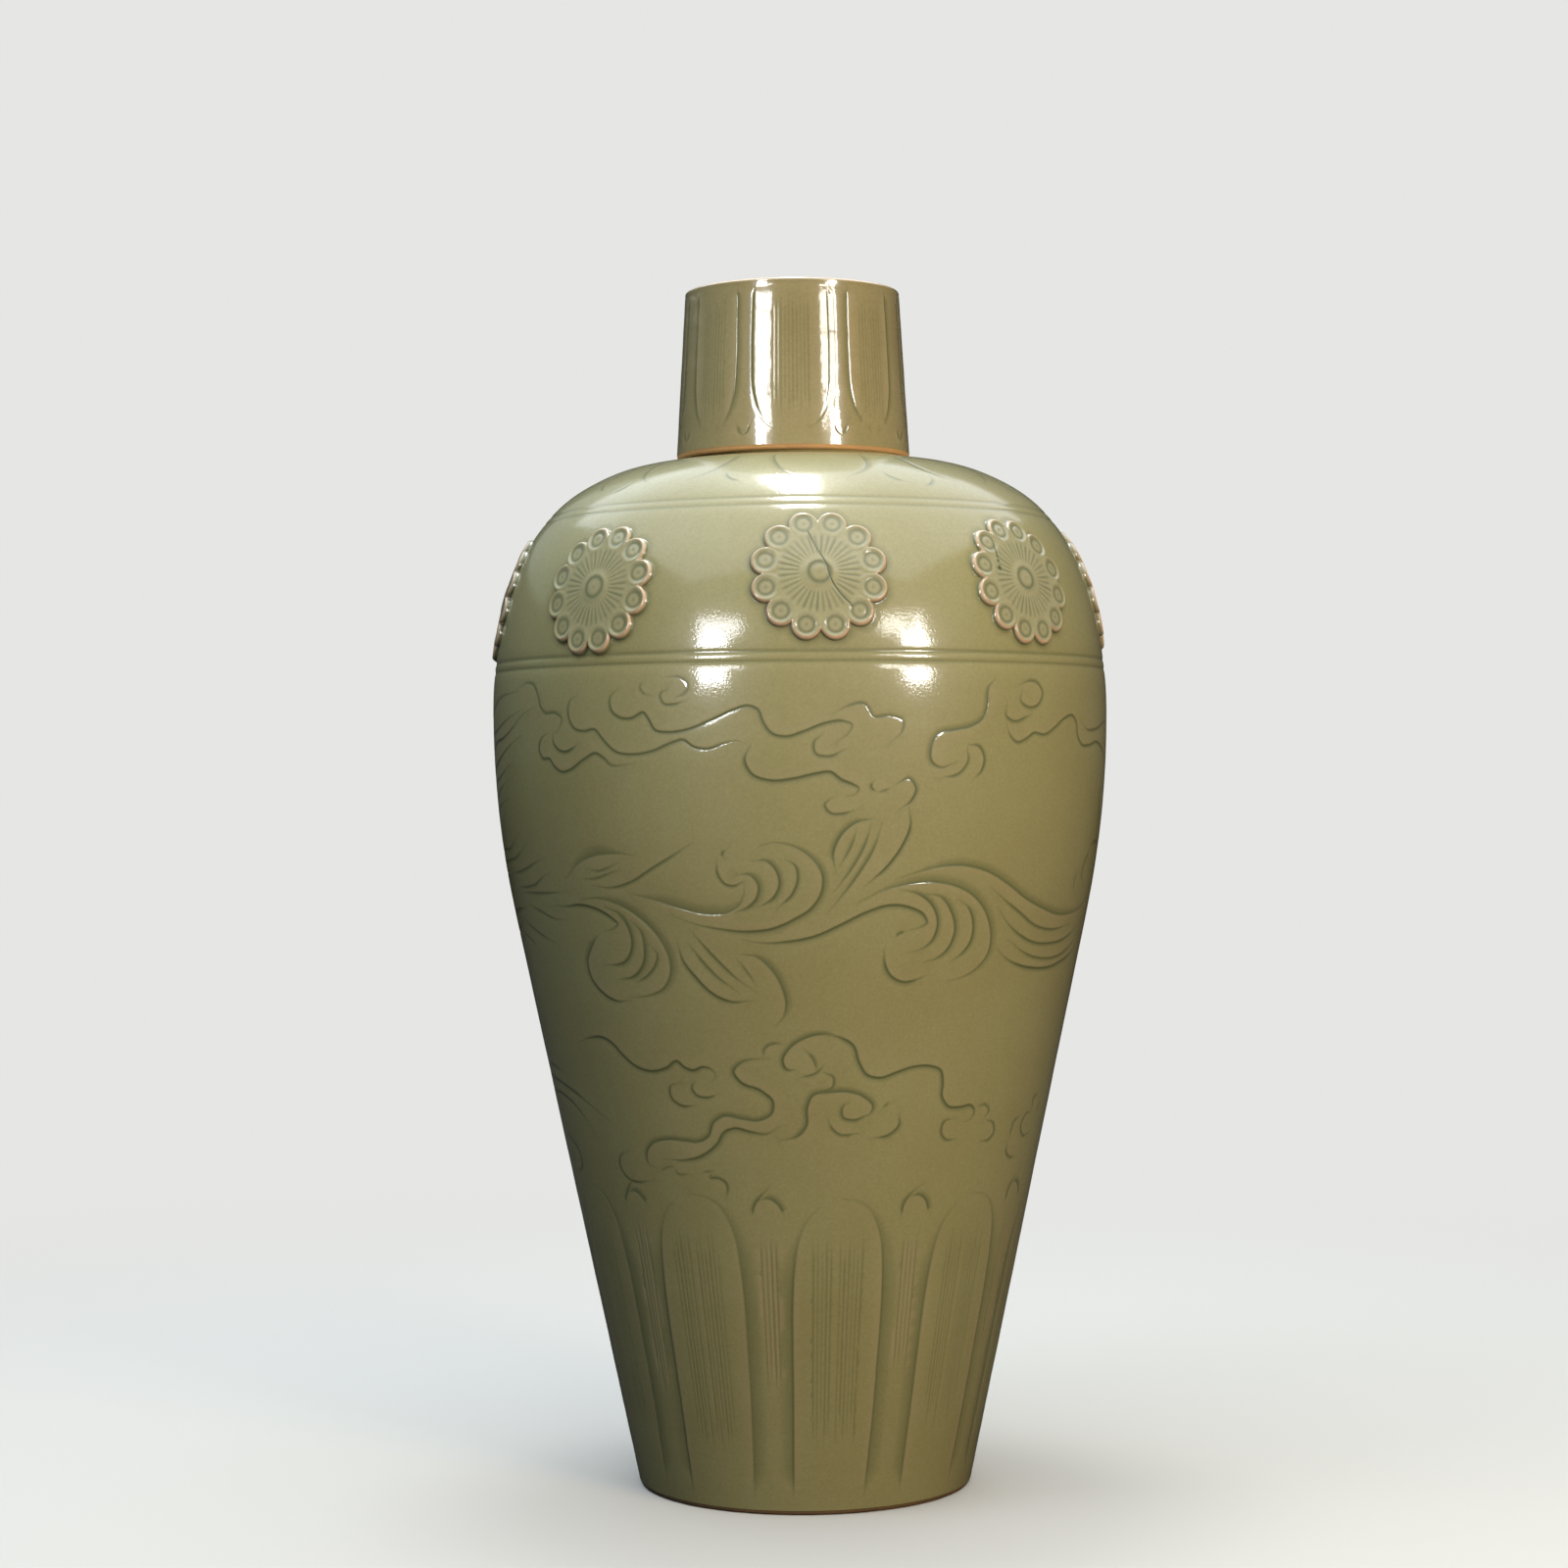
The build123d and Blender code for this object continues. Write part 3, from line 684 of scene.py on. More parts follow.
def cap_strokes() -> Strokes:
    """The petals that hang down round the cap, with combed lines and small petals between.

    Returns:
        The cuts and the combed bands.
    """
    cuts: list[Cut] = []
    combs: list[Comb] = []
    petals = ((-44, 14), (-1, 19), (43.5, 13.5), (90, 15), (135, 15.5), (181, 15), (226, 15), (272, 15))
    for number, (middle, half) in enumerate(petals):
        edge = ((half, 396.2), (half + 0.3, 386), (half + 0.3, 372), (half - 0.6, 362), (half - 3.4, 355.6),
                (half - 8, 351), (half - 11, 349.8))
        cuts.append(right(tuple((middle - turn, height) for turn, height in edge), 2.5, 0.5, 0.06, 0.3))
        cuts.append(left(tuple((middle + turn, height) for turn, height in edge), 2.5, 0.5, 0.06, 0.3))
        following, its_half = petals[(number + 1) % len(petals)]
        gap = (middle + half + (following + 360 * (number == len(petals) - 1)) - its_half) / 2
        cuts.append(left(((gap - 3.6, 351.4), (gap - 2.4, 348.8), (gap, 347.8)), 1.5, 0.36))
        cuts.append(right(((gap + 3.6, 351.4), (gap + 2.4, 348.8), (gap, 347.8)), 1.5, 0.36))
        combs.append(Comb(middle, 353, 395, 10 if half > 17 else 8, 1.95, 0.05))
    return Strokes(cuts, combs)


# Carving


@dataclass
class Relief:
    """What the tools and the glaze did at each of some places.

    Attributes:
        depth: How far the face is cut back.
        pool: Glaze gathered in the hollows, 0 to 1.
        thin: Glaze drawn thin over the edges, 0 to 1.
    """

    depth: Array
    pool: Array
    thin: Array

    @classmethod
    def none(cls, count: int) -> Relief:
        """No relief at a number of places."""
        return cls(*np.zeros((3, count)))

    def raise_to(self, other: Relief, at: Array) -> None:
        """Takes another relief wherever it is the stronger.

        Args:
            other: The other relief.
            at: The number of each place that it covers.
        """
        for mine, its in ((self.depth, other.depth), (self.pool, other.pool), (self.thin, other.thin)):
            mine[at] = np.maximum(mine[at], its)


@dataclass
class Carver:
    """Lays points along the strokes of a surface and gives the relief at any place.

    Attributes:
        surface: The turned face that is carved.
        strokes: The cuts and combed bands.
        wall: Half the width of a cut's steep side.
        spacing: Distance between points along a stroke.
        ground: Distance between points on the plain ground.
        swell: Depth of the slow unevenness left by throwing and turning.
        filled: Share of a cut's depth that the glaze fills.
        narrow: Width under which a cut needs one row of points less on its slope.
        wide: Width over which it needs one more.
        merged: Points nearer than this become one.
        clearance: Points of the ground keep about this far from the others.
        margin: Height by which the points of a comb go past its ends.
    """

    surface: TurnedSurface
    strokes: Strokes
    wall: float = 0.26
    spacing: float = 0.85
    ground: float = 2.8
    swell: float = 0.1
    filled: float = 0.74
    narrow: float = 1.25
    wide: float = 2.4
    merged: float = 0.16
    clearance: float = 1.1
    margin: float = 3

    def _curve(self, cut: Cut, step: float) -> tuple[Array, float]:
        """Draws the crisp edge of a cut on the sheet.

        Args:
            cut: The stroke.
            step: Distance between the curve's points.

        Returns:
            The curve, and the millimetres in one unit of the sheet there.
        """
        turns, heights = np.array(cut.path).T
        path = np.column_stack((np.radians(turns), self.surface.across(heights)))
        scale = float(np.mean(self.surface.radius(self.surface.height(path[:, 1]))))
        return smooth_curve(path, step / scale), scale

    @staticmethod
    def _sides(curve: Array) -> tuple[Array, Array]:
        """Works out the directions along and to the left of a curve.

        Args:
            curve: The curve's points.

        Returns:
            Unit tangents and unit normals.
        """
        along = np.gradient(curve, axis=0)
        along /= np.maximum(np.hypot(*along.T), 1e-12)[:, None]
        return along, np.column_stack((-along[:, 1], along[:, 0]))

    @staticmethod
    def _taper(cut: Cut, share: Array) -> Array:
        """How full a stroke is at a share of its length."""
        full = eased(0.0, cut.start, share) * eased(0.0, cut.end, 1.0 - share)
        return 0.12 + 0.88 * full

    def _cut_points(self, cut: Cut) -> list[Array]:
        """Rows of points along a cut, before its crisp edge, down its steep side and on its slope.

        Args:
            cut: The stroke.

        Returns:
            One array of points on the sheet for each row.
        """
        curve, scale = self._curve(cut, self.spacing)
        _, normals = self._sides(curve)
        width = np.maximum(cut.width * self._taper(cut, np.linspace(0, 1, len(curve))), 0.5)
        # Distances from the crisp edge towards the slope.
        rows = [-0.62, -self.wall, 0.02, 0.3, 0.35 * width + 0.2, 0.68 * width + 0.2, width + 0.25]
        if cut.width < self.narrow:
            rows.pop(5)
        if cut.width > self.wide:
            rows.append(0.85)
        return [curve + normals * np.reshape(cut.side.value * row / scale, (-1, 1)) for row in rows]

    def points(self, low: float, high: float) -> Array:
        """Places points for the mesh between two heights.

        Args:
            low: Lower edge of the piece.
            high: Upper edge of the piece.

        Returns:
            Points on the sheet: rows along each stroke, columns of the combs, and the ground.
        """
        fine = [self._off_combs(row) for cut in self.strokes.cuts for row in self._cut_points(cut)]
        fine.extend(self._comb_points(comb) for comb in self.strokes.combs)
        turns = np.linspace(-math.pi, math.pi, GROOVE_POINTS)
        for groove in self.surface.grooves():
            for offset in GROOVE_ROWS:
                row = self.surface.across(groove) + offset / self.surface.radius(groove)
                fine.append(np.column_stack((turns, np.full(len(turns), row))))
        laid = np.vstack(fine)
        laid[:, 0] = wrapped(laid[:, 0], math.pi)
        bottom, top = self.surface.across(low), self.surface.across(high)
        middle = float(self.surface.radius((low + high) / 2))
        margin = 0.5 / middle
        inside = (
            (laid[:, 1] > bottom + margin) & (laid[:, 1] < top - margin)
            & (np.abs(laid[:, 0]) < math.pi - margin)
        )
        laid = laid[inside]
        cells = np.round(laid / (self.merged / middle)).astype(int)
        laid = laid[np.sort(np.unique(cells, axis=0, return_index=True)[1])]
        return np.vstack((laid, self._ground_points(laid, bottom, top, middle)))

    def _off_combs(self, sheet: Array) -> Array:
        """Keeps the points that lie outside every combed band.

        Args:
            sheet: Points on the sheet.

        Returns:
            Those of them that are left.
        """
        degrees = np.degrees(sheet[:, 0])
        heights = self.surface.height(sheet[:, 1])
        clear = np.ones(len(sheet), dtype=bool)
        for comb in self.strokes.combs:
            within = np.abs(comb.offset(degrees, comb.share(heights))) < (comb.teeth / 2 + 0.3) * comb.pitch
            clear &= ~(within & (heights > comb.low - self.margin) & (heights < comb.high + self.margin))
        return sheet[clear]

    def _comb_points(self, comb: Comb) -> Array:
        """Lays columns of points, four to a tooth, in and between the grooves of a comb.

        Args:
            comb: The combed band.

        Returns:
            Points on the sheet.
        """
        phases = np.arange(-2, 4 * comb.teeth - 1) / 4 - (comb.teeth - 1) / 2
        heights = np.arange(comb.low - self.margin, comb.high + self.margin + 0.01, 2.6)
        turn = comb.turn + phases[None, :] * comb.pitch + comb.drift * comb.share(heights)[:, None]
        across = np.broadcast_to(self.surface.across(heights)[:, None], turn.shape)
        return np.column_stack((np.radians(turn).ravel(), across.ravel()))

    def _ground_points(self, laid: Array, bottom: float, top: float, middle: float) -> Array:
        """Spreads a staggered net over the ground, clear of the points already laid.

        Args:
            laid: The points already laid.
            bottom: The sheet's coordinate at the lower edge.
            top: Its coordinate at the upper edge.
            middle: Millimetres in one unit of the sheet.

        Returns:
            The net's points.
        """
        step = self.ground / middle
        rows = np.arange(bottom + 0.7 * step, top - 0.5 * step, step * 0.866)
        net = np.array([
            (turn, row)
            for number, row in enumerate(rows)
            for turn in np.arange(-math.pi + step * (0.6 if number % 2 else 1.1), math.pi - 0.5 * step, step)
        ])
        cell = self.clearance / middle
        origin = np.array([-math.pi, bottom])
        taken = np.zeros((int(math.tau / cell) + 4, int((top - bottom) / cell) + 4), dtype=bool)
        spots = np.floor((laid - origin) / cell).astype(int) + 1
        for right_by, up_by in ((0, 0), (1, 0), (-1, 0), (0, 1), (0, -1)):
            taken[spots[:, 0] + right_by, spots[:, 1] + up_by] = True
        cells = np.floor((net - origin) / cell).astype(int) + 1
        return net[~taken[cells[:, 0], cells[:, 1]]]

    def relief(self, sheet: Array) -> Relief:
        """Gives the relief at points on the sheet.

        Args:
            sheet: The points.

        Returns:
            Depth, pooled glaze and thin glaze at each point.
        """
        turn, across = sheet[:, 0], sheet[:, 1]
        total = Relief.none(len(sheet))
        for cut in self.strokes.cuts:
            total.raise_to(*self._cut_relief(cut, turn, across))
        thin = np.clip(total.thin, 0.0, 1.0) * (1 - total.pool)
        combed = self._combed(turn, across)
        pool = np.maximum(total.pool * (1 - combed.thin), combed.pool)
        hollow = self.surface.hollow(self.surface.height(across))
        pool = np.maximum(pool, np.clip(hollow * 2.4, 0.0, 0.55))
        waves = (
            np.sin(3 * turn + 0.7 + 5 * across) + np.sin(5 * turn - 11 * across)
            + np.sin(2 * turn + 17 * across + 1) + np.sin(31 * across)
        )
        # Four waves add up to between -4 and 4, so this stays between nothing and the swell.
        uneven = self.swell * (0.5 + waves / 8)
        return Relief(total.depth + combed.depth + uneven, pool, np.maximum(thin, combed.thin))

    def _cut_relief(self, cut: Cut, turn: Array, across: Array) -> tuple[Relief, Array]:
        """Gives what one cut did near its edge.

        Args:
            cut: The stroke.
            turn: Angles of the places.
            across: Their upward coordinates on the sheet.

        Returns:
            The relief, and the number of each place that it covers.
        """
        curve, scale = self._curve(cut, 0.3)
        along, normals = self._sides(curve)
        low, high = curve.min(axis=0), curve.max(axis=0)
        reach = (cut.width + 1.5) / scale
        centre = (low[0] + high[0]) / 2
        near_turn = wrapped(turn - centre, math.pi) + centre
        near = np.nonzero(
            (near_turn > low[0] - reach) & (near_turn < high[0] + reach)
            & (across > low[1] - reach) & (across < high[1] + reach)
        )[0]
        if not len(near):
            return Relief.none(0), near
        spots = np.column_stack((near_turn[near], across[near]))
        gaps = (spots[:, None, 0] - curve[None, :, 0]) ** 2 + (spots[:, None, 1] - curve[None, :, 1]) ** 2
        closest = gaps.argmin(axis=1)
        away = (spots - curve[closest]) * scale
        over = (away * normals[closest]).sum(axis=1) * cut.side.value
        past = (away * along[closest]).sum(axis=1)
        at_end = (closest == 0) | (closest == len(curve) - 1)
        share = closest / (len(curve) - 1)
        full = self._taper(cut, share) * np.where(at_end, bump_at(past, 0.0, 0.35), 1.0)
        # The steep side drops at the crisp edge, and the slope comes up again over the width.
        width = np.maximum(cut.width * full, 0.45)
        steep = eased(-self.wall, 0.3, over)
        slope = np.clip(1 - (over - 0.2) / np.maximum(width - 0.2, 0.2), 0.0, 1.0) ** 1.1
        depth = cut.depth * (1 - self.filled) * full**0.75 * steep * slope
        # Glaze gathers most at the foot of the steep side, and less in shallow or wide cuts.
        wet = eased(-0.45, 0.1, over)
        deepest = 0.62 * slope**0.7 + 0.38 * bump_at(over, 0.2, 0.5)
        strength = min(cut.depth / 0.5, 1.0) * min((1.5 / cut.width) ** 0.25, 1.0)
        pool = strength * full**0.6 * wet * deepest
        # It runs thin over the crisp edge.
        thin = 0.4 * cut.depth * full * bump_at(over, -0.5, 0.2)
        return Relief(depth, pool, thin), near

    def _combed(self, turn: Array, across: Array) -> Relief:
        """Gives what the combs did.

        Args:
            turn: Angles of the places.
            across: Their upward coordinates on the sheet.

        Returns:
            The relief at each place.
        """
        total = Relief.none(len(turn))
        heights = self.surface.height(across)
        degrees = np.degrees(turn)
        for comb in self.strokes.combs:
            share = comb.share(heights)
            phase = comb.offset(degrees, share) / comb.pitch + (comb.teeth - 1) / 2
            inside = (phase > -0.5) & (phase < comb.teeth - 0.5) & (share > 0.0) & (share < 1.0)
            at = np.nonzero(inside)[0]
            share, phase = share[at], phase[at]
            tooth = np.clip(np.round(phase).astype(int), 0, comb.teeth - 1)
            # Each tooth bites and lets go a little later than the next, and presses as it will.
            lag = 0.05 + 0.05 * np.cos(tooth * 2.4 + comb.turn)
            ends = eased(lag, lag + 0.12, share) * eased(0.0, 0.14, 1 - share - 0.6 * lag)
            ends = ends * (tooth != comb.skipped)
            press = 0.8 + 0.2 * np.sin(tooth * 1.7 + comb.turn)
            wave = 0.5 + 0.5 * np.cos(math.tau * phase)
            groove = wave**1.8 * press
            ridge = np.clip(comb.depth - 0.13, 0.0, 0.2) * 9 * (1 - wave) ** 2 * ends
            total.raise_to(Relief(comb.depth * groove * ends, 0.46 * groove * ends, ridge), at)
        return total


# Meshes


def linked(name: str, data: bpy.types.ID) -> bpy.types.Object:
    """Makes an object and links it to the scene.

    Args:
        name: The object's name.
        data: Its mesh, lamp or camera.

    Returns:
        The object.
    """
    obj = bpy.data.objects.new(name, data)
    bpy.context.scene.collection.objects.link(obj)
    return obj

class Skin(Enum):
    """The finish of a stretch of a turned piece, as its material slot's place."""

    GLAZE = 0
    CLAY = 1
    INSIDE = 2


@dataclass
class Turning:
    """A stretch of turned outline with its finish.

    Attributes:
        outline: Its (radius, height) points.
        skin: Its finish.
        thin: How thin the glaze runs there, 0 to 1.
        crisp: Whether the ring that it starts from is a sharp arris.
    """

    outline: list[Point]
    skin: Skin
    thin: float = 0.0
    crisp: bool = True


@dataclass
class MeshParts:
    """Vertices, faces and marks of a mesh while it is put together.

    Attributes:
        spots: Places of the vertices.
        faces: Corners of the faces.
        skins: Material slot of each face.
        pool: Pooled glaze at the vertices.
        thin: Thin glaze at the vertices.
        sharp_rings: Rings of vertices whose edges are sharp.
        axis: Where the piece's axis stands, as across and back.
        count: Number of vertices.
    """

    spots: list[Array] = field(default_factory=list)
    faces: list[tuple[int, ...]] = field(default_factory=list)
    skins: list[int] = field(default_factory=list)
    pool: list[Array] = field(default_factory=list)
    thin: list[Array] = field(default_factory=list)
    sharp_rings: list[set[int]] = field(default_factory=list)
    axis: Array = field(default_factory=lambda: np.zeros(2))
    count: int = 0

    def add(self, spots: Array, pool: Array | None = None, thin: Array | None = None) -> int:
        """Adds vertices.

        Args:
            spots: Their places.
            pool: Pooled glaze at each, none where it is left out.
            thin: Thin glaze at each, none where it is left out.

        Returns:
            The number of the first.
        """
        first = self.count
        self.spots.append(spots)
        self.pool.append(np.zeros(len(spots)) if pool is None else pool)
        self.thin.append(np.zeros(len(spots)) if thin is None else thin)
        self.count += len(spots)
        return first

    def build(self, name: str, materials: Sequence[bpy.types.Material]) -> bpy.types.Object:
        """Makes the object, smooth but for its marked rings.

        Args:
            name: The object's name.
            materials: One material for each finish.

        Returns:
            The object, linked to the scene.
        """
        used = np.unique(np.concatenate([np.array(face) for face in self.faces]))
        place = np.full(self.count, -1)
        place[used] = np.arange(len(used))
        faces = [tuple(place[list(face)].tolist()) for face in self.faces]
        mesh = bpy.data.meshes.new(name)
        mesh.from_pydata((np.vstack(self.spots)[used] + (*self.axis, 0.0)) * MM, [], faces)
        for material in materials:
            mesh.materials.append(material)
        mesh.polygons.foreach_set("material_index", self.skins)
        mesh.polygons.foreach_set("use_smooth", [True] * len(self.faces))
        glaze = mesh.attributes.new("glaze", "FLOAT_COLOR", "POINT")
        pool, thin = np.concatenate(self.pool)[used], np.concatenate(self.thin)[used]
        colours = np.column_stack((pool, thin, np.zeros(len(pool)), np.ones(len(pool))))
        glaze.data.foreach_set("color", colours.ravel())
        if self.sharp_rings:
            ring_of = np.full(len(used), -1)
            for number, ring in enumerate(self.sharp_rings):
                ring_of[place[list(ring)]] = number
            ends = np.empty(len(mesh.edges) * 2, dtype=int)
            mesh.edges.foreach_get("vertices", ends)
            ends = ring_of[ends.reshape(-1, 2)]
            sharp = mesh.attributes.new("sharp_edge", "BOOLEAN", "EDGE")
            sharp.data.foreach_set("value", (ends[:, 0] == ends[:, 1]) & (ends[:, 0] >= 0))
        mesh.validate()
        return linked(name, mesh)


def ring_spots(radius: float, height: float, count: int) -> Array:
    """Even places round a circle, starting at the back."""
    turn = -math.pi + np.arange(count) * math.tau / count
    return np.column_stack((radius * np.sin(turn), -radius * np.cos(turn), np.full(count, height)))


def add_turnings(
    parts: MeshParts,
    turnings: Sequence[Turning],
    first_ring: list[int],
    last_ring: list[int] | None,
    count: int,
) -> None:
    """Adds turned stretches from one ring of vertices to another, or to the axis.

    Args:
        parts: The mesh that grows.
        turnings: The stretches in order; each starts where the last one ended. The last point of
            all only stands for last_ring, where there is one.
        first_ring: Vertices of the ring that the first stretch starts from.
        last_ring: Vertices of the ring that the last stretch ends on, or None where it closes
            on the axis.
        count: Vertices in a ring.
    """
    ring = first_ring
    for place, turning in enumerate(turnings):
        if turning.crisp and len(ring) > 1:
            parts.sharp_rings.append(set(ring))
        for number, (radius, height) in enumerate(turning.outline):
            final = place == len(turnings) - 1 and number == len(turning.outline) - 1
            if radius < 0.01:
                pole = parts.add(np.array([[0.0, 0.0, height]]), thin=np.array([turning.thin]))
                if len(ring) > 1:
                    for i in range(count):
                        parts.faces.append((ring[i], ring[(i + 1) % count], pole))
                        parts.skins.append(turning.skin.value)
                ring = [pole]
                continue
            if final and last_ring is not None:
                following = last_ring
            else:
                start = parts.add(ring_spots(radius, height, count), thin=np.full(count, turning.thin))
                following = list(range(start, start + count))
            for i in range(count):
                j = (i + 1) % count
                if len(ring) == 1:
                    parts.faces.append((ring[0], following[j], following[i]))
                else:
                    parts.faces.append((ring[i], ring[j], following[j], following[i]))
                parts.skins.append(turning.skin.value)
            ring = following
    if last_ring is not None:
        parts.sharp_rings.append(set(last_ring))


def add_carved_face(
    parts: MeshParts, carver: Carver, low: float, high: float, count: int
) -> tuple[list[int], list[int]]:
    """Adds the carved outer face between two heights.

    Args:
        parts: The mesh that grows.
        carver: The surface and its strokes.
        low: Lower edge.
        high: Upper edge.
        count: Vertices in the edge rings.

    Returns:
        The vertices of the lower and of the upper edge ring.
    """
    surface = carver.surface
    bottom, top = float(surface.across(low)), float(surface.across(high))
    turns = -math.pi + np.arange(count + 1) * math.tau / count
    step = math.tau / count
    rises = np.linspace(bottom, top, max(int((top - bottom) / (1.3 * step)), 2) + 1)[1:-1]
    edges = np.vstack((
        np.column_stack((turns, np.full(count + 1, bottom))),
        np.column_stack((turns, np.full(count + 1, top))),
        np.column_stack((np.full(len(rises), -math.pi), rises)),
        np.column_stack((np.full(len(rises), math.pi), rises)),
    ))
    sheet = np.vstack((edges, carver.points(low, high)))
    flat = [Vector((float(x), float(y))) for x, y in sheet]
    laid, _, triangles, _, _, _ = delaunay_2d_cdt(flat, [], [], 0, 1e-7)
    sheet = np.array([(spot.x, spot.y) for spot in laid])
    triangles = np.array([face for face in triangles if len(face) == 3])
    relief = carver.relief(sheet)
    heights = surface.height(sheet[:, 1])
    first = parts.add(surface.spots(sheet[:, 0], heights, -relief.depth), relief.pool, relief.thin)
    # The right edge of the sheet is its left edge again, at the back of the vase.
    on_right = sheet[:, 0] > math.pi - TIE
    on_left = sheet[:, 0] < -math.pi + TIE
    left_at = {round(float(sheet[i, 1]), 7): i for i in np.nonzero(on_left)[0]}
    same = np.arange(len(sheet))
    for i in np.nonzero(on_right)[0]:
        same[i] = left_at[round(float(sheet[i, 1]), 7)]
    # Every triangle is made to face outwards.
    corners = sheet[triangles]
    along, over = corners[:, 1] - corners[:, 0], corners[:, 2] - corners[:, 0]
    area = along[:, 0] * over[:, 1] - along[:, 1] * over[:, 0]
    triangles = np.where(area[:, None] < 0, triangles[:, ::-1], triangles)
    triangles = same[triangles] + first
    parts.faces.extend(map(tuple, triangles.tolist()))
    parts.skins.extend([Skin.GLAZE.value] * len(triangles))
    rings: list[list[int]] = []
    for level in (bottom, top):
        at = np.nonzero((np.abs(sheet[:, 1] - level) < TIE) & ~on_right)[0]
        rings.append((at[np.argsort(sheet[at, 0])] + first).tolist())
    return rings[0], rings[1]


# Finishes


def linear(colour: str) -> tuple[float, float, float, float]:
    """Makes a colour linear.

    Args:
        colour: An sRGB hex colour such as 8c8a63.

    Returns:
        Linear red, green and blue, and a full alpha.
    """
    channels = [int(colour[i:i + 2], 16) / 255 for i in (0, 2, 4)]
    red, green, blue = (c / 12.92 if c <= 0.04045 else ((c + 0.055) / 1.055) ** 2.4 for c in channels)
    return red, green, blue, 1.0


def add_node(
    tree: bpy.types.NodeTree, kind: str, settings: dict[str, object] | None = None, **links: object
) -> bpy.types.Node:
    """Adds a node to a tree.

    Args:
        tree: The node tree.
        kind: The node's type.
        settings: Properties by name, and socket values by "in:" and the socket's name or number.
        **links: Input names, with spaces as underscores, or "i" and a number, each with the socket
            that feeds it.

    Returns:
        The node.
    """
    node = tree.nodes.new(kind)
    for name, value in (settings or {}).items():
        if name.startswith("in:"):
            key = name[3:]
            node.inputs[int(key) if key.isdigit() else key].default_value = value
        else:
            setattr(node, name, value)
    for name, socket in links.items():
        key = int(name[1:]) if name[0] == "i" and name[1:].isdigit() else name.replace("_", " ")
        tree.links.new(socket, node.inputs[key])
    return node


def new_material(name: str) -> tuple[bpy.types.Material, bpy.types.NodeTree, bpy.types.Node]:
    """Makes a material with only its shader and output.

    Args:
        name: The material's name.

    Returns:
        The material, its node tree and its shader.
    """
    material = bpy.data.materials.new(name)
    material.use_nodes = True
    tree = material.node_tree
    tree.nodes.clear()
    shader = tree.nodes.new("ShaderNodeBsdfPrincipled")
    output = tree.nodes.new("ShaderNodeOutputMaterial")
    tree.links.new(shader.outputs["BSDF"], output.inputs["Surface"])
    return material, tree, shader


def layered(
    tree: bpy.types.NodeTree, ground: str, layers: Sequence[tuple[bpy.types.NodeSocket, str, str]]
) -> bpy.types.NodeSocket:
    """Lays colours over a ground, one on another.

    Args:
        tree: The node tree.
        ground: Hex colour of the ground.
        layers: For each layer the socket that says how much of it shows, its hex colour and how it
            blends.

    Returns:
        The colour socket of the last layer.
    """
    below: dict[str, bpy.types.NodeSocket] = {}
    for amount, tint, blend in layers:
        settings = {"data_type": "RGBA", "blend_type": blend, "in:6": linear(ground), "in:7": linear(tint)}
        below = {"i6": add_node(tree, "ShaderNodeMix", settings, i0=amount, **below).outputs[2]}
    return below["i6"]


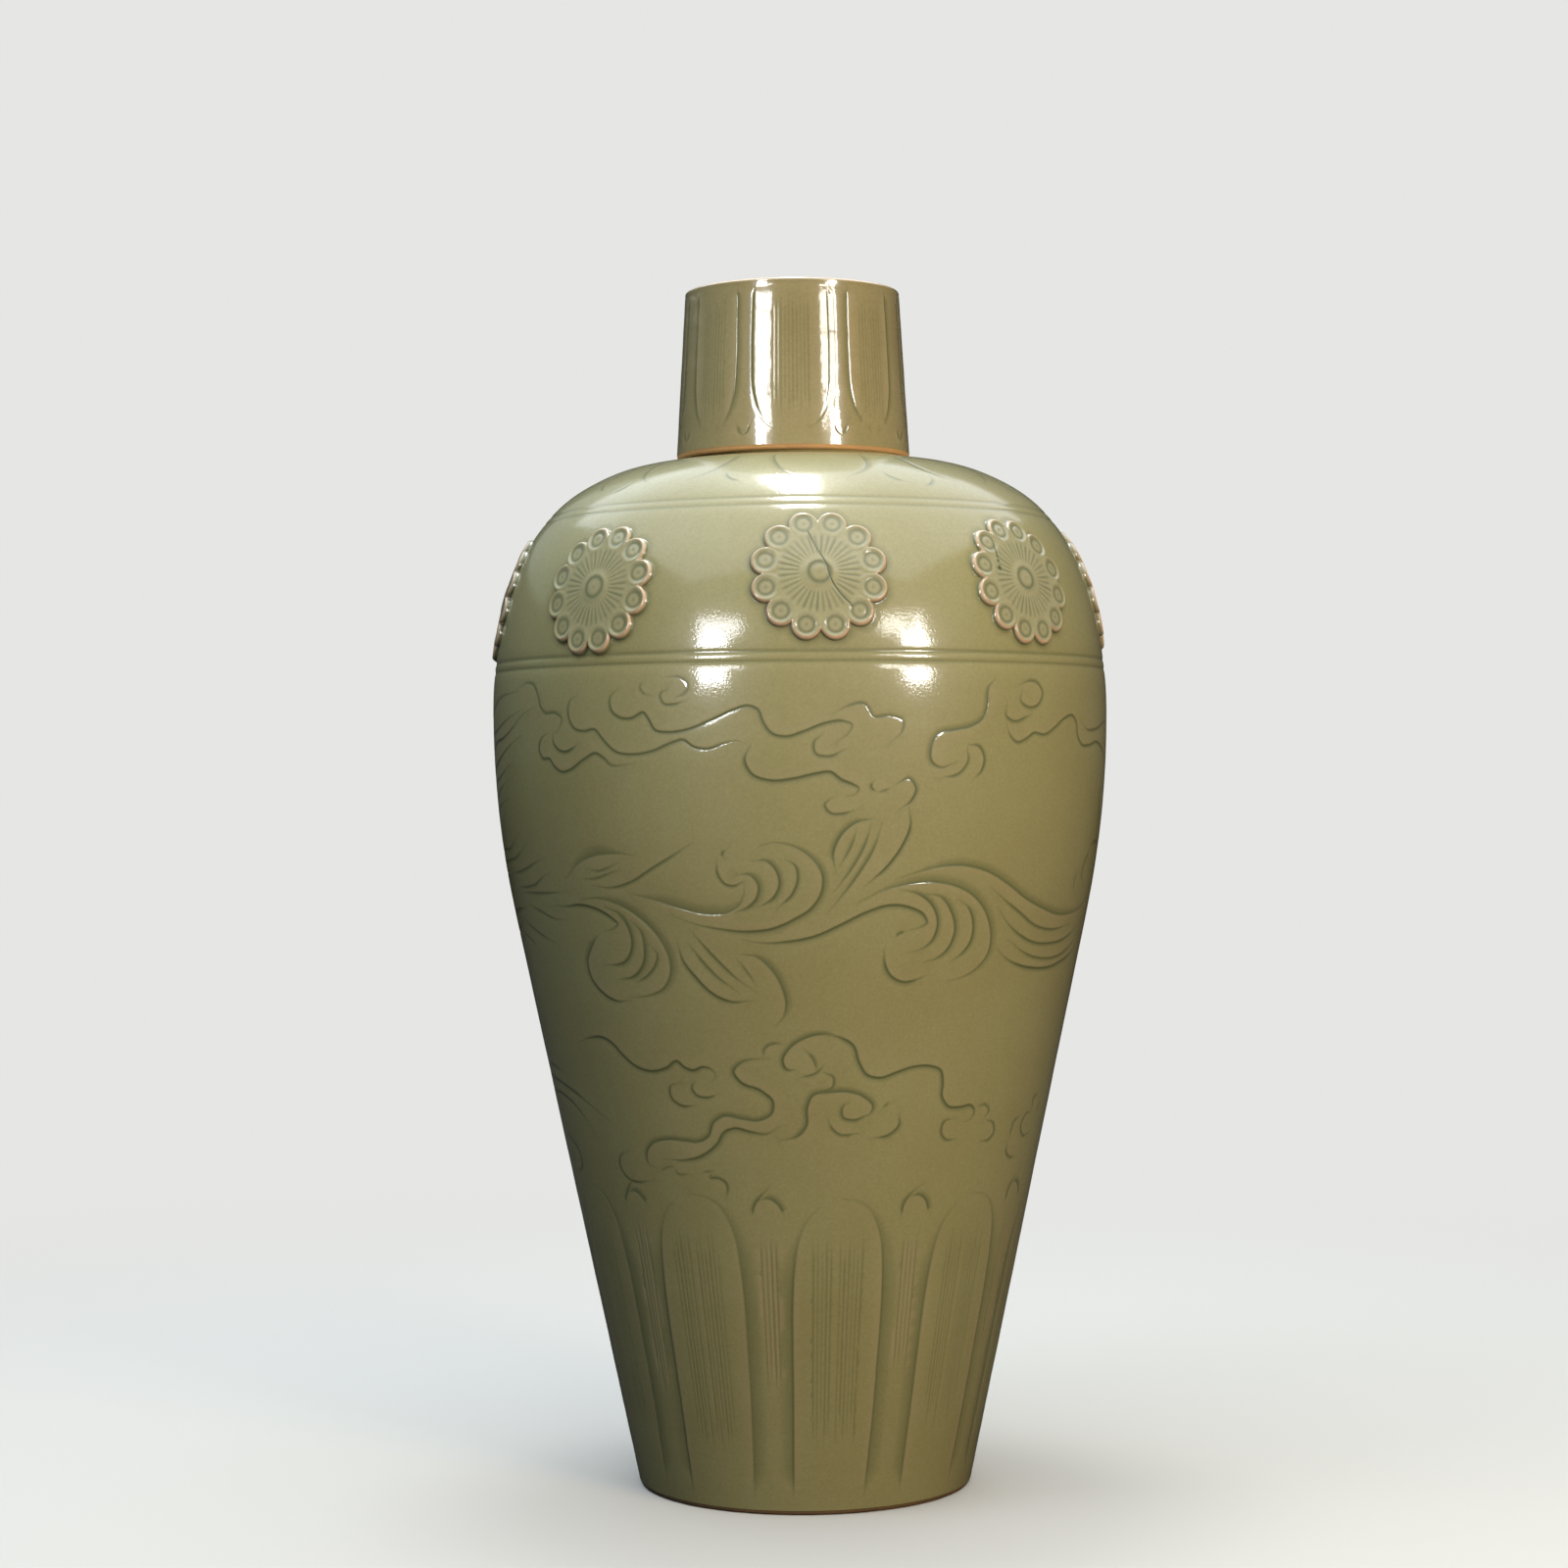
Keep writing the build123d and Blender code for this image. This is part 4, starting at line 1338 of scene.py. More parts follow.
@dataclass(frozen=True)
class Celadon:
    """Celadon: a feldspathic glaze coloured by a little iron and fired in reduction.

    It is green and deep where it pools in the cuts, pale and pinkish where it runs thin over an
    edge, and slightly satin, with pinholes and a fine mottle.

    Attributes:
        name: The material's name.
        body: Colour of the glaze at its usual thickness.
        warm: Colour where it mottles warmer.
        pooled: Colour in the hollows.
        edge: Colour over the edges.
        roughness: Roughness of the face.
        coat: Strength of the bright skin of glaze.
        coat_roughness: Roughness of that skin.
        mottle: Size of the clouding in millimetres.
        pinholes: Depth of the pinholes in millimetres.
        peel: Depth of the fine ripple of its skin in millimetres.
        crack: Colour of the body laid bare in a firing crack, where the pooled mark passes one.
        specks: Size of the iron specks in millimetres.
        grit: Size of the grain in the glaze in millimetres.
        bubbles: Distance between its pinholes in millimetres.
        ripple: Size of the ripple of its skin in millimetres.
        under_coat: Strength of the glaze's own reflection under its bright skin.
    """

    name: str
    body: str
    warm: str
    pooled: str
    edge: str
    roughness: float = 0.38
    coat: float = 0.9
    coat_roughness: float = 0.11
    mottle: float = 40.0
    pinholes: float = 0.05
    peel: float = 0.028
    crack: str = "3c3320"
    specks: float = 2.2
    grit: float = 0.9
    bubbles: float = 2.4
    ripple: float = 0.8
    under_coat: float = 0.22

    def build(self) -> bpy.types.Material:
        """Builds the glaze.

        Returns:
            The material.
        """
        material, tree, shader = new_material(self.name)
        place = add_node(tree, "ShaderNodeTexCoord").outputs["Object"]
        cloud, speck, grain, ripple = (
            add_node(
                tree, "ShaderNodeTexNoise",
                {"in:Scale": 1 / (size * MM), "in:Detail": detail, "in:Roughness": rough}, Vector=place,
            ).outputs["Fac"]
            for size, detail, rough in (
                (self.mottle, 3.0, 0.5), (self.specks, 4.0, 0.65), (self.grit, 2.0, 0.6),
                (self.ripple, 1.0, 0.5))
        )
        size = {"in:Scale": 1 / (self.bubbles * MM)}
        cells = add_node(tree, "ShaderNodeTexVoronoi", size, Vector=place).outputs["Distance"]
        # Each socket is stretched from its first two values to its last two.
        warmer, specked, grained, rough, holes = (
            add_node(
                tree, "ShaderNodeMapRange",
                {"in:1": start, "in:2": end, "in:3": low, "in:4": high}, i0=socket,
            ).outputs[0]
            for socket, start, end, low, high in (
                (cloud, 0.35, 0.65, 0.0, 1.0), (speck, 0.0, 1.0, 0.0, 0.2), (grain, 0.0, 1.0, -0.1, 0.32),
                (grain, 0.0, 1.0, self.roughness - 0.07, self.roughness + 0.09),
                (cells, 0.03, 0.16, 0.0, 1.0))
        )
        marks = add_node(tree, "ShaderNodeAttribute", {"attribute_name": "glaze"}).outputs["Color"]
        pooled, thin, _ = add_node(tree, "ShaderNodeSeparateColor", Color=marks).outputs
        cracked = add_node(tree, "ShaderNodeMath", {"operation": "SUBTRACT", "in:1": 1.0}, i0=pooled)
        colour = layered(tree, self.body, (
            (warmer, self.warm, "MIX"), (specked, self.warm, "MULTIPLY"), (grained, self.warm, "MULTIPLY"),
            (pooled, self.pooled, "MIX"), (thin, self.edge, "MIX"), (cracked.outputs[0], self.crack, "MIX"),
        ))
        height = add_node(
            tree, "ShaderNodeMath", {"operation": "MULTIPLY_ADD", "in:1": 0.35}, i0=grain, i2=holes)
        depth = {"in:Strength": 0.6, "in:Distance": self.pinholes * MM}
        bump = add_node(tree, "ShaderNodeBump", depth, Height=height.outputs[0])
        skin = add_node(tree, "ShaderNodeBump", {"in:Distance": self.peel * MM}, Height=ripple)
        for name, socket in (
            ("Base Color", colour), ("Normal", bump.outputs[0]), ("Roughness", rough),
            ("Coat Normal", skin.outputs[0]),
        ):
            tree.links.new(socket, shader.inputs[name])
        for name, value in (
            ("Specular IOR Level", self.under_coat), ("Coat Weight", self.coat),
            ("Coat Roughness", self.coat_roughness),
        ):
            shader.inputs[name].default_value = value
        return material


@dataclass(frozen=True)
class BareClay:
    """Unglazed stoneware that the kiln flashed to an iron red-brown, dry and gritty.

    Attributes:
        name: The material's name.
        body: Colour of the clay.
        flashed: Colour where the flame flashed it.
        blush: Size of the flashed patches in millimetres.
        grit: Size of the grit in millimetres.
        gritty: Depth of the grit in millimetres.
        roughness: Roughness of the dry face.
    """

    name: str
    body: str
    flashed: str
    blush: float = 14.0
    grit: float = 0.8
    gritty: float = 0.12
    roughness: float = 0.78

    def build(self) -> bpy.types.Material:
        """Builds the clay.

        Returns:
            The material.
        """
        material, tree, shader = new_material(self.name)
        place = add_node(tree, "ShaderNodeTexCoord").outputs["Object"]
        blush, grit = (
            add_node(
                tree, "ShaderNodeTexNoise",
                {"in:Scale": 1 / (size * MM), "in:Detail": detail, "in:Roughness": rough}, Vector=place,
            ).outputs["Fac"]
            for size, detail, rough in ((self.blush, 4.0, 0.5), (self.grit, 3.0, 0.7))
        )
        flushed = add_node(tree, "ShaderNodeMapRange", {"in:1": 0.35, "in:2": 0.65}, i0=blush)
        darker = add_node(tree, "ShaderNodeMapRange", {"in:4": 0.5}, i0=grit)
        colour = layered(tree, self.body, (
            (flushed.outputs[0], self.flashed, "MIX"), (darker.outputs[0], self.body, "MULTIPLY"),
        ))
        tree.links.new(colour, shader.inputs["Base Color"])
        depth = {"in:Strength": 0.8, "in:Distance": self.gritty * MM}
        bump = add_node(tree, "ShaderNodeBump", depth, Height=grit)
        tree.links.new(bump.outputs["Normal"], shader.inputs["Normal"])
        shader.inputs["Roughness"].default_value = self.roughness
        return material


@dataclass(frozen=True)
class PaleFloor:
    """Matt painted studio floor, which takes the vase's shadow and runs out into the backdrop.

    The camera sees it pale, while the light that it throws back on the vase stays low.

    Attributes:
        tone: Its colour near the vase, to the camera.
        bounce: Its colour to every other ray.
        backdrop: Colour of the backdrop that it runs into.
        near: Where it starts to run out, in metres from the vase.
        far: Where it has run out.
    """

    tone: str = "c2c2be"
    bounce: str = "2e2e2d"
    backdrop: str = "e6e6e4"
    near: float = 0.16
    far: float = 0.85

    def build(self) -> bpy.types.Material:
        """Builds the floor's paint.

        Returns:
            The material.
        """
        material, tree, shader = new_material("matt_painted_studio_floor")
        tree.nodes.remove(shader)
        output = tree.nodes["Material Output"]
        seen_by_camera = add_node(tree, "ShaderNodeLightPath").outputs["Is Camera Ray"]
        place = add_node(tree, "ShaderNodeTexCoord").outputs["Object"]
        away = add_node(tree, "ShaderNodeVectorMath", {"operation": "LENGTH"}, i0=place).outputs["Value"]
        span = {"interpolation_type": "SMOOTHSTEP", "in:1": self.near, "in:2": self.far}
        run_out = add_node(tree, "ShaderNodeMapRange", span, i0=away).outputs[0]
        paint, thrown, backdrop = (
            add_node(tree, kind, {"in:Color": linear(colour)}).outputs[0]
            for kind, colour in (
                ("ShaderNodeBsdfDiffuse", self.tone), ("ShaderNodeBsdfDiffuse", self.bounce),
                ("ShaderNodeEmission", self.backdrop))
        )
        seen = add_node(tree, "ShaderNodeMixShader", i0=run_out, i1=paint, i2=backdrop)
        shown = add_node(tree, "ShaderNodeMixShader", i0=seen_by_camera, i1=thrown, i2=seen.outputs[0])
        tree.links.new(shown.outputs[0], output.inputs["Surface"])
        return material


class Glaze(Enum):
    """The finishes of the vase."""

    BODY = Celadon("reduction_fired_celadon_glaze", "9b996f", "979368", "525b3c", "a8957a")
    CAP = Celadon(
        "thick_glossy_celadon_glaze", "9f9670", "988f68", "5e623d", "dcc4a8",
        roughness=0.2, coat_roughness=0.05, mottle=30.0, pinholes=0.02, peel=0.01)
    MEDALLION = Celadon("celadon_glaze_over_sprigged_relief", "a2a181", "9e9b76", "5c6448", "cdaa90")
    INSIDE = Celadon(
        "thin_celadon_liner_glaze", "918b66", "89805a", "5e6344", "a99c78", roughness=0.4, coat=0.3)


class Clay(Enum):
    """The bare clays."""

    FOOT = BareClay("iron_flashed_stoneware_foot", "6a5230", "775b36")
    RIM = BareClay("orange_flashed_stoneware_rim", "bb9463", "c89f68")


# Pieces


def ride_and_replace(obj: bpy.types.Object, body: str, slot: str, *nodes: str) -> bpy.types.Object:
    """Makes a piece ride on its body and stand for its solids.

    Args:
        obj: The piece.
        body: The body that it rides on.
        slot: Name of a material slot; not used.
        *nodes: The solids that it replaces.

    Returns:
        The same piece.
    """
    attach(obj, body)
    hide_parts(*nodes)
    log.info("%s: %d faces", obj.name, len(obj.data.polygons))
    return obj


@dataclass
class Mould:
    """The scalloped outline of a medallion and its lie on the shoulder.

    Attributes:
        surface: The outer face of the body.
        radius: From the middle to the tip of a lobe.
        lobes: Number of lobes.
        lobe: Radius of a lobe.
        rise: How far a medallion's middle lies above the middle of its box.
        rise: How far a medallion's middle lies above the middle of its box.
        moat_width: Width of the hollow round a medallion.
        moat_depth: Depth of that hollow.
    """

    surface: TurnedSurface
    radius: float = 21.8
    lobes: int = 12
    lobe: float = 4.7
    rise: float = 0.6
    moat_width: float = 2.2
    moat_depth: float = 0.24

    def from_lobe(self, turn: Array) -> tuple[Array, float]:
        """Angles from the nearest lobe's middle line, and the radius at which lobes lie."""
        pitch = math.tau / self.lobes
        return np.mod(turn, pitch) - pitch / 2, self.radius - self.lobe

    def edge(self, turn: Array) -> Array:
        """Radius of the scalloped outline."""
        offset, place = self.from_lobe(turn)
        return place * np.cos(offset) + np.sqrt(self.lobe**2 - (place * np.sin(offset)) ** 2)

    def seat(self, number: int) -> tuple[float, float]:
        """Angle in radians and height of a medallion's middle."""
        low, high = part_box(f"medallion_{number}")
        return math.atan2(low[0] + high[0], -(low[1] + high[1])), (low[2] + high[2]) / 2 / MM + self.rise

    def spots(self, height: float, across: Array, up: Array, lift: Array) -> Array:
        """Puts mould points on the front of the shoulder.

        Args:
            height: Height of the mould's middle.
            across: Distance to the right of the mould's middle.
            up: Distance up the slope.
            lift: Height above the shoulder.

        Returns:
            One x, y, z row for each point.
        """
        radius = float(self.surface.radius(height))
        lean = float(np.interp(height, self.surface.heights, self.surface.lean))
        normal = np.array([0.0, -math.cos(lean), math.sin(lean)])
        slope = np.array([0.0, math.sin(lean), math.cos(lean)])
        sideways = np.array([1.0, 0.0, 0.0])
        base = np.array([0.0, -radius, height]) + across[:, None] * sideways + up[:, None] * slope
        # Each point falls along the normal until it touches the shoulder.
        fall = np.zeros(len(across))
        for _ in range(8):
            spots = base + fall[:, None] * normal
            gap = np.hypot(spots[:, 0], spots[:, 1]) - self.surface.radius(spots[:, 2])
            fall -= gap * math.cos(lean)
        return base + (fall + lift)[:, None] * normal

    def rim(self, number: int) -> Cut:
        """The shallow hollow round a medallion, in which the glaze gathers.

        Args:
            number: The medallion's number.

        Returns:
            The hollow as one stroke that closes on itself.
        """
        angle, height = self.seat(number)
        turns = np.linspace(0.0, math.tau, 145)
        edge = self.edge(turns)
        spots = self.spots(height, edge * np.sin(turns), edge * np.cos(turns), np.zeros(len(turns)))
        degrees = np.degrees(np.arctan2(spots[:, 0], -spots[:, 1]) + angle)
        path = tuple(zip(degrees.tolist(), spots[:, 2].tolist(), strict=True))
        return left(path, self.moat_width, self.moat_depth, 0.001, 0.001)


@dataclass
class CarvedBody:
    """The three carved sections of the body, each one closed mesh.

    Attributes:
        glaze: The celadon of the outside.
        inside: The glaze of the inside.
        foot: The bare clay of the foot.
        low_seam: Height of the seam between the lower and the upper body.
        high_seam: Height of the seam under the shoulder.
        seat: Height of the low turned seat.
        surface: The outer face.
        mould: The medallions' outline and their lie on it.
        carver: The outer face and its strokes.
        count: Vertices in a seam ring.
        unglazed: Height of the wiped band above the foot.
        recess: Depth of the recess under the foot.
        edge: How far the foot's outer corner is rounded.
        seat_step: Height of the step round the seat.
        floor_top: Height up to which the inside keeps the rings of the solid.
    """

    glaze: bpy.types.Material
    inside: bpy.types.Material
    foot: bpy.types.Material
    low_seam: float = field(init=False)
    high_seam: float = field(init=False)
    seat: float = field(init=False)
    surface: TurnedSurface = field(init=False)
    mould: Mould = field(init=False)
    carver: Carver = field(init=False)
    count: int = 480
    unglazed: float = 1.5
    recess: float = 3.5
    edge: float = 1.6
    seat_step: float = 0.7
    floor_top: float = 30.0

    def __post_init__(self) -> None:
        """Reads the sections' heights and the outer face from the frame."""
        self.low_seam = float(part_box("upper_body")[0][2]) / MM
        self.high_seam = float(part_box("shoulder")[0][2]) / MM
        self.seat = float(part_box("shoulder")[1][2]) / MM
        self.surface = TurnedSurface.from_nodes(("lower_body", "upper_body", "shoulder"))
        self.mould = Mould(self.surface)
        strokes = body_strokes()
        strokes.cuts.extend(self.mould.rim(number) for number in range(1, 9))
        self.carver = Carver(self.surface, strokes)

    def _inner(self, node: str, low: float, high: float) -> list[Point]:
        """The inner face of a section between two heights.

        Args:
            node: The section's solid.
            low: Lower height.
            high: Upper height.

        Returns:
            (radius, height) points, lowest first.
        """
        heights, radii = one_radius_each(node_profile(node, Wall.INNER))
        fine = np.linspace(low, high, max(int((high - low) / 4), 2) + 1)
        return [(float(np.interp(z, heights, radii)), float(z)) for z in fine]

    def build(self) -> list[bpy.types.Object]:
        """Builds the three sections.

        Returns:
            The lower body, the upper body and the shoulder.
        """
        materials = (self.glaze, self.foot, self.inside)
        sections = (("lower_body", self._lower), ("upper_body", self._upper), ("shoulder", self._shoulder))
        return [
            ride_and_replace(throw().build(f"{node}_carved", materials), "vase", "body_glaze", node)
            for node, throw in sections
        ]

    def _lower(self) -> MeshParts:
        """The foot, the floor and the petalled lower wall.

        Returns:
            The closed mesh.
        """
        parts = MeshParts()
        low_ring, high_ring = add_carved_face(parts, self.carver, self.unglazed, self.low_seam, self.count)
        rows = node_profile("lower_body", Wall.INNER)
        recess, floor = rows[rows[:, 0] < self.recess + 1], rows[rows[:, 0] > self.recess + 1]
        under, wide, tread = float(recess[-1, 0]), float(recess[-1, 1]), float(recess[0, 1])
        foot = self.surface.radius(self.unglazed) - 0.35
        corner = self.edge - 0.5
        pole = parts.add(np.array([[0.0, 0.0, under]]))
        outline = [
            (wide / 2, under), (wide - 0.8, under), (wide + 0.2, under - 0.4),
            (tread, 0.5), (tread + 0.6, 0.0),
            *((foot - corner + corner * math.sin(turn), corner - corner * math.cos(turn))
              for turn in np.linspace(0, math.pi / 2, 6)),
            (foot, self.unglazed - 0.1), (foot + 0.1, self.unglazed),
        ]
        add_turnings(parts, [Turning(outline, Skin.CLAY)], [pole], low_ring, self.count)
        inner = [(float(radius), float(height)) for height, radius in floor if height < self.floor_top]
        wall = self._inner("lower_body", inner[-1][1] + 2, self.low_seam)
        bottom = inner[0][1]
        outline = wall[::-1] + inner[::-1] + [(inner[0][0] / 2, bottom), (0.0, bottom)]
        add_turnings(parts, [Turning(outline, Skin.INSIDE)], high_ring, None, self.count)
        return parts

    def _upper(self) -> MeshParts:
        """The belly between the two seams.

        Returns:
            The closed mesh.
        """
        parts = MeshParts()
        low_ring, high_ring = add_carved_face(parts, self.carver, self.low_seam, self.high_seam, self.count)
        outline = self._inner("upper_body", self.low_seam, self.high_seam)[::-1]
        add_turnings(parts, [Turning(outline + [(0.1, 0.0)], Skin.INSIDE)], high_ring, low_ring, self.count)
        return parts

    def _shoulder(self) -> MeshParts:
        """The shoulder with its turned rings, up to the seat and the mouth.

        Returns:
            The closed mesh.
        """
        parts = MeshParts()
        top = self.seat - self.seat_step - 0.2
        low_ring, high_ring = add_carved_face(parts, self.carver, self.high_seam, top, self.count)
        rows = node_profile("shoulder", Wall.INNER)
        mouth = float(rows[-1, 1])
        seat = float(self.surface.radius(self.seat))
        ceiling = float(rows[rows[:, 1] > mouth + 5][-1, 0])
        step = [(seat, self.seat - self.seat_step), (seat - 0.1, self.seat - 0.2), (seat - 0.4, self.seat)]
        ledge = [(seat - 4, self.seat), (mouth + 1, self.seat), (mouth, self.seat - 0.6)]
        inner = self._inner("shoulder", self.high_seam, ceiling - 0.3)[::-1]
        bore = [(mouth, ceiling + 0.6), (mouth + 0.6, ceiling), (inner[0][0], ceiling)]
        turnings = [Turning(step, Skin.GLAZE), Turning(ledge, Skin.CLAY),
                    Turning(bore + inner + [(0.1, 0.0)], Skin.INSIDE)]
        add_turnings(parts, turnings, high_ring, low_ring, self.count)
        return parts


@dataclass
class CarvedCap:
    """The cup-shaped cap with its ring of hanging petals, one closed mesh.

    Attributes:
        glaze: The glossy glaze.
        inside: The glaze of the inside.
        clay: The bare rim.
        count: Vertices in a ring.
        bare: Height of the bare band above the rim.
        corner: Radius of the top edge.
        carver: The outer face and its strokes.
    """

    glaze: bpy.types.Material
    inside: bpy.types.Material
    clay: bpy.types.Material
    count: int = 288
    bare: float = 1.6
    corner: float = 0.9
    carver: Carver = field(init=False)

    def __post_init__(self) -> None:
        """Reads the outer face from the frame."""
        surface = TurnedSurface.from_nodes(("cap",))
        self.carver = Carver(surface, cap_strokes(), spacing=0.7, ground=2.0)

    def build(self) -> bpy.types.Object:
        """Builds the cap.

        Returns:
            The cap.
        """
        parts = MeshParts(axis=axis_of("cap"))
        surface = self.carver.surface
        low, high = float(surface.heights[0]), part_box("cap")[1][2] / MM
        shoulder = high - self.corner - 0.1
        low_ring, high_ring = add_carved_face(parts, self.carver, low + self.bare, shoulder, self.count)
        heights, radii = one_radius_each(node_profile("cap", Wall.INNER))
        ceiling = float(heights[-1])
        wall = list(zip(radii.tolist(), heights.tolist(), strict=True))[::-1]
        pole = parts.add(np.array([[0.0, 0.0, ceiling]]))
        inner = [(wall[0][0] / 2, ceiling)] + wall[:-1]
        rim_inner, rim_outer = wall[-1][0], float(surface.radius(low + 1))
        rim = [
            (rim_inner, low + 1.2), (rim_inner + 0.3, low + 0.3), (rim_inner + 0.9, low),
            (rim_outer - 1.1, low), (rim_outer - 0.45, low + 0.25), (rim_outer - 0.2, low + 0.8),
            (rim_outer - 0.25, low + self.bare - 0.2), (rim_outer, low + self.bare),
        ]
        turnings = [Turning(inner, Skin.INSIDE), Turning(rim, Skin.CLAY)]
        add_turnings(parts, turnings, [pole], low_ring, self.count)
        radius = float(surface.radius(shoulder)) - self.corner
        edge = [
            (radius + self.corner * math.cos(turn), high - self.corner + self.corner * math.sin(turn))
            for turn in np.linspace(0.15, math.pi / 2, 6)
        ]
        top = [
            (radius - 2, high - 0.1), (radius - 8, high - 0.25), (radius / 2, high - 0.3), (0.0, high - 0.25),
        ]
        # The glaze runs thin over the corner.
        stretches = ((edge[:2], 0.1), (edge[2:5], 1.0), (edge[5:], 0.3), (top, 0.0))
        turnings = [Turning(outline, Skin.GLAZE, thin, crisp=False) for outline, thin in stretches]
        add_turnings(parts, turnings, high_ring, None, self.count)
        cap = parts.build("cap_carved", (self.glaze, self.clay, self.inside))
        return ride_and_replace(cap, "cap", "cap_glaze", "cap")


@dataclass
class GeometryTree:
    """A Geometry Nodes tree with named inputs, made plain once it has run.

    Attributes:
        name: The tree's name.
        tree: The tree.
        start: Its input node.
        end: Its output node.
        identifiers: The modifier's key of each named input.
    """

    name: str
    tree: bpy.types.NodeTree = field(init=False)
    start: bpy.types.Node = field(init=False)
    end: bpy.types.Node = field(init=False)
    identifiers: dict[str, str] = field(default_factory=dict)

    def __post_init__(self) -> None:
        """Makes the empty tree with its geometry sockets."""
        self.tree = bpy.data.node_groups.new(self.name, "GeometryNodeTree")
        self.tree.interface.new_socket("Geometry", in_out="INPUT", socket_type="NodeSocketGeometry")
        self.tree.interface.new_socket("Geometry", in_out="OUTPUT", socket_type="NodeSocketGeometry")
        self.start = self.tree.nodes.new("NodeGroupInput")
        self.end = self.tree.nodes.new("NodeGroupOutput")

    def value(self, name: str, kind: str) -> bpy.types.NodeSocket:
        """Adds a named input and gives its socket.

        Args:
            name: The input's name.
            kind: The socket's type.

        Returns:
            The socket inside the tree.
        """
        item = self.tree.interface.new_socket(name, in_out="INPUT", socket_type=kind)
        self.identifiers[name] = item.identifier
        return self.start.outputs[name]

    def finish(self, geometry: bpy.types.NodeSocket, material: bpy.types.NodeSocket) -> None:
        """Ends the tree in Realize Instances and Set Material.

        Args:
            geometry: The socket of the finished geometry.
            material: The socket of its material.
        """
        real = add_node(self.tree, "GeometryNodeRealizeInstances", Geometry=geometry)
        dressed = add_node(self.tree, "GeometryNodeSetMaterial", Geometry=real.outputs[0], Material=material)
        self.tree.links.new(dressed.outputs[0], self.end.inputs[0])

    def run(self, obj: bpy.types.Object, values: dict[str, object]) -> bpy.types.Object:
        """Runs the tree on an object and keeps the result as its plain mesh.

        Args:
            obj: The object that holds the starting geometry.
            values: The inputs by name.

        Returns:
            The same object.
        """
        modifier = obj.modifiers.new(self.name, "NODES")
        modifier.node_group = self.tree
        for name, value in values.items():
            modifier[self.identifiers[name]] = value
        evaluated = obj.evaluated_get(bpy.context.evaluated_depsgraph_get())
        mesh = bpy.data.meshes.new_from_object(evaluated)
        obj.modifiers.clear()
        obj.data = mesh
        return obj


@dataclass
class Neck:
    """The short neck with its rolled lip, turned by a Geometry Nodes tree.

    Attributes:
        glaze: The body's glaze.
        mouth: Radius of the mouth.
        wall: Thickness of the neck.
        lip: How far the lip stands out.
        lip_height: Height of the lip.
        segments: Steps round the axis.
    """

    glaze: bpy.types.Material
    mouth: float = 20.0
    wall: float = 5.0
    lip: float = 3.5
    lip_height: float = 9.0
    segments: int = 192

    def outline(self) -> list[Point]:
        """The closed outline: up from the spread root, round the lip and down inside the mouth.

        Returns:
            (radius, height) points.
        """
        low, high = (float(corner[2]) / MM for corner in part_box("neck"))
        outer, lip = self.mouth + self.wall, self.mouth + self.wall + self.lip
        lip_low = high - self.lip_height
        curve = [(outer + 3.6, low), (outer + 1.6, low + 0.7), (outer + 0.6, low + 2), (outer, low + 4.4),
                 (outer - 0.15, (low + lip_low) / 2), (outer, lip_low - 4), (outer + 0.7, lip_low - 2.2),
                 (lip - 0.6, lip_low - 0.4), (lip, lip_low + 1.6), (lip, high - 3), (lip - 0.8, high - 1),
                 (lip - 2.8, high), (self.mouth + 2.2, high), (self.mouth + 0.6, high - 0.7),
                 (self.mouth + 0.1, high - 2.2)]
        soft = smooth_curve(np.array(curve), 0.6)
        return [(float(r), float(z)) for r, z in soft] + [
            (self.mouth, z) for z in np.linspace(high - 4, low, 9).tolist()
        ]

    def _tree(self) -> GeometryTree:
        """The tree that turns a closed outline round the axis.

        Returns:
            The tree.
        """
        made = GeometryTree("turned_piece")
        steps = made.value("Segments", "NodeSocketInt")
        start = made.value("Path Radius", "NodeSocketFloat")
        material = made.value("Material", "NodeSocketMaterial")
        tree = made.tree
        circle = add_node(tree, "GeometryNodeCurvePrimitiveCircle", Resolution=steps, Radius=start)
        outline = add_node(tree, "GeometryNodeMeshToCurve", Mesh=made.start.outputs["Geometry"])
        turned = add_node(tree, "GeometryNodeCurveToMesh", Curve=circle.outputs[0], i1=outline.outputs[0])
        smooth = add_node(tree, "GeometryNodeSetShadeSmooth", Geometry=turned.outputs[0])
        made.finish(smooth.outputs[0], material)
        return made

    def build(self) -> bpy.types.Object:
        """Builds the neck.

        Returns:
            The neck.
        """
        path_radius = self.mouth / 2
        points = [((radius - path_radius) * MM, -height * MM, 0.0) for radius, height in self.outline()]
        edges = [(i, (i + 1) % len(points)) for i in range(len(points))]
        mesh = bpy.data.meshes.new("neck_turned")
        mesh.from_pydata(points, edges, [])
        neck = linked("neck_turned", mesh)
        values = {"Segments": self.segments, "Path Radius": path_radius * MM, "Material": self.glaze}
        return ride_and_replace(self._tree().run(neck, values), "vase", "body_glaze", "neck")


# Firing cracks by the medallion's number, as (across, up) points from its middle.
CRACKS: dict[int, tuple[Path, ...]] = {
    1: (((-3.2, 14), (-0.6, 8), (2.2, 2.4), (3.4, -2), (6, -6.6), (9.8, -10.6)),),
    2: (((-9.8, 11), (-10.8, 2.6)),),
}


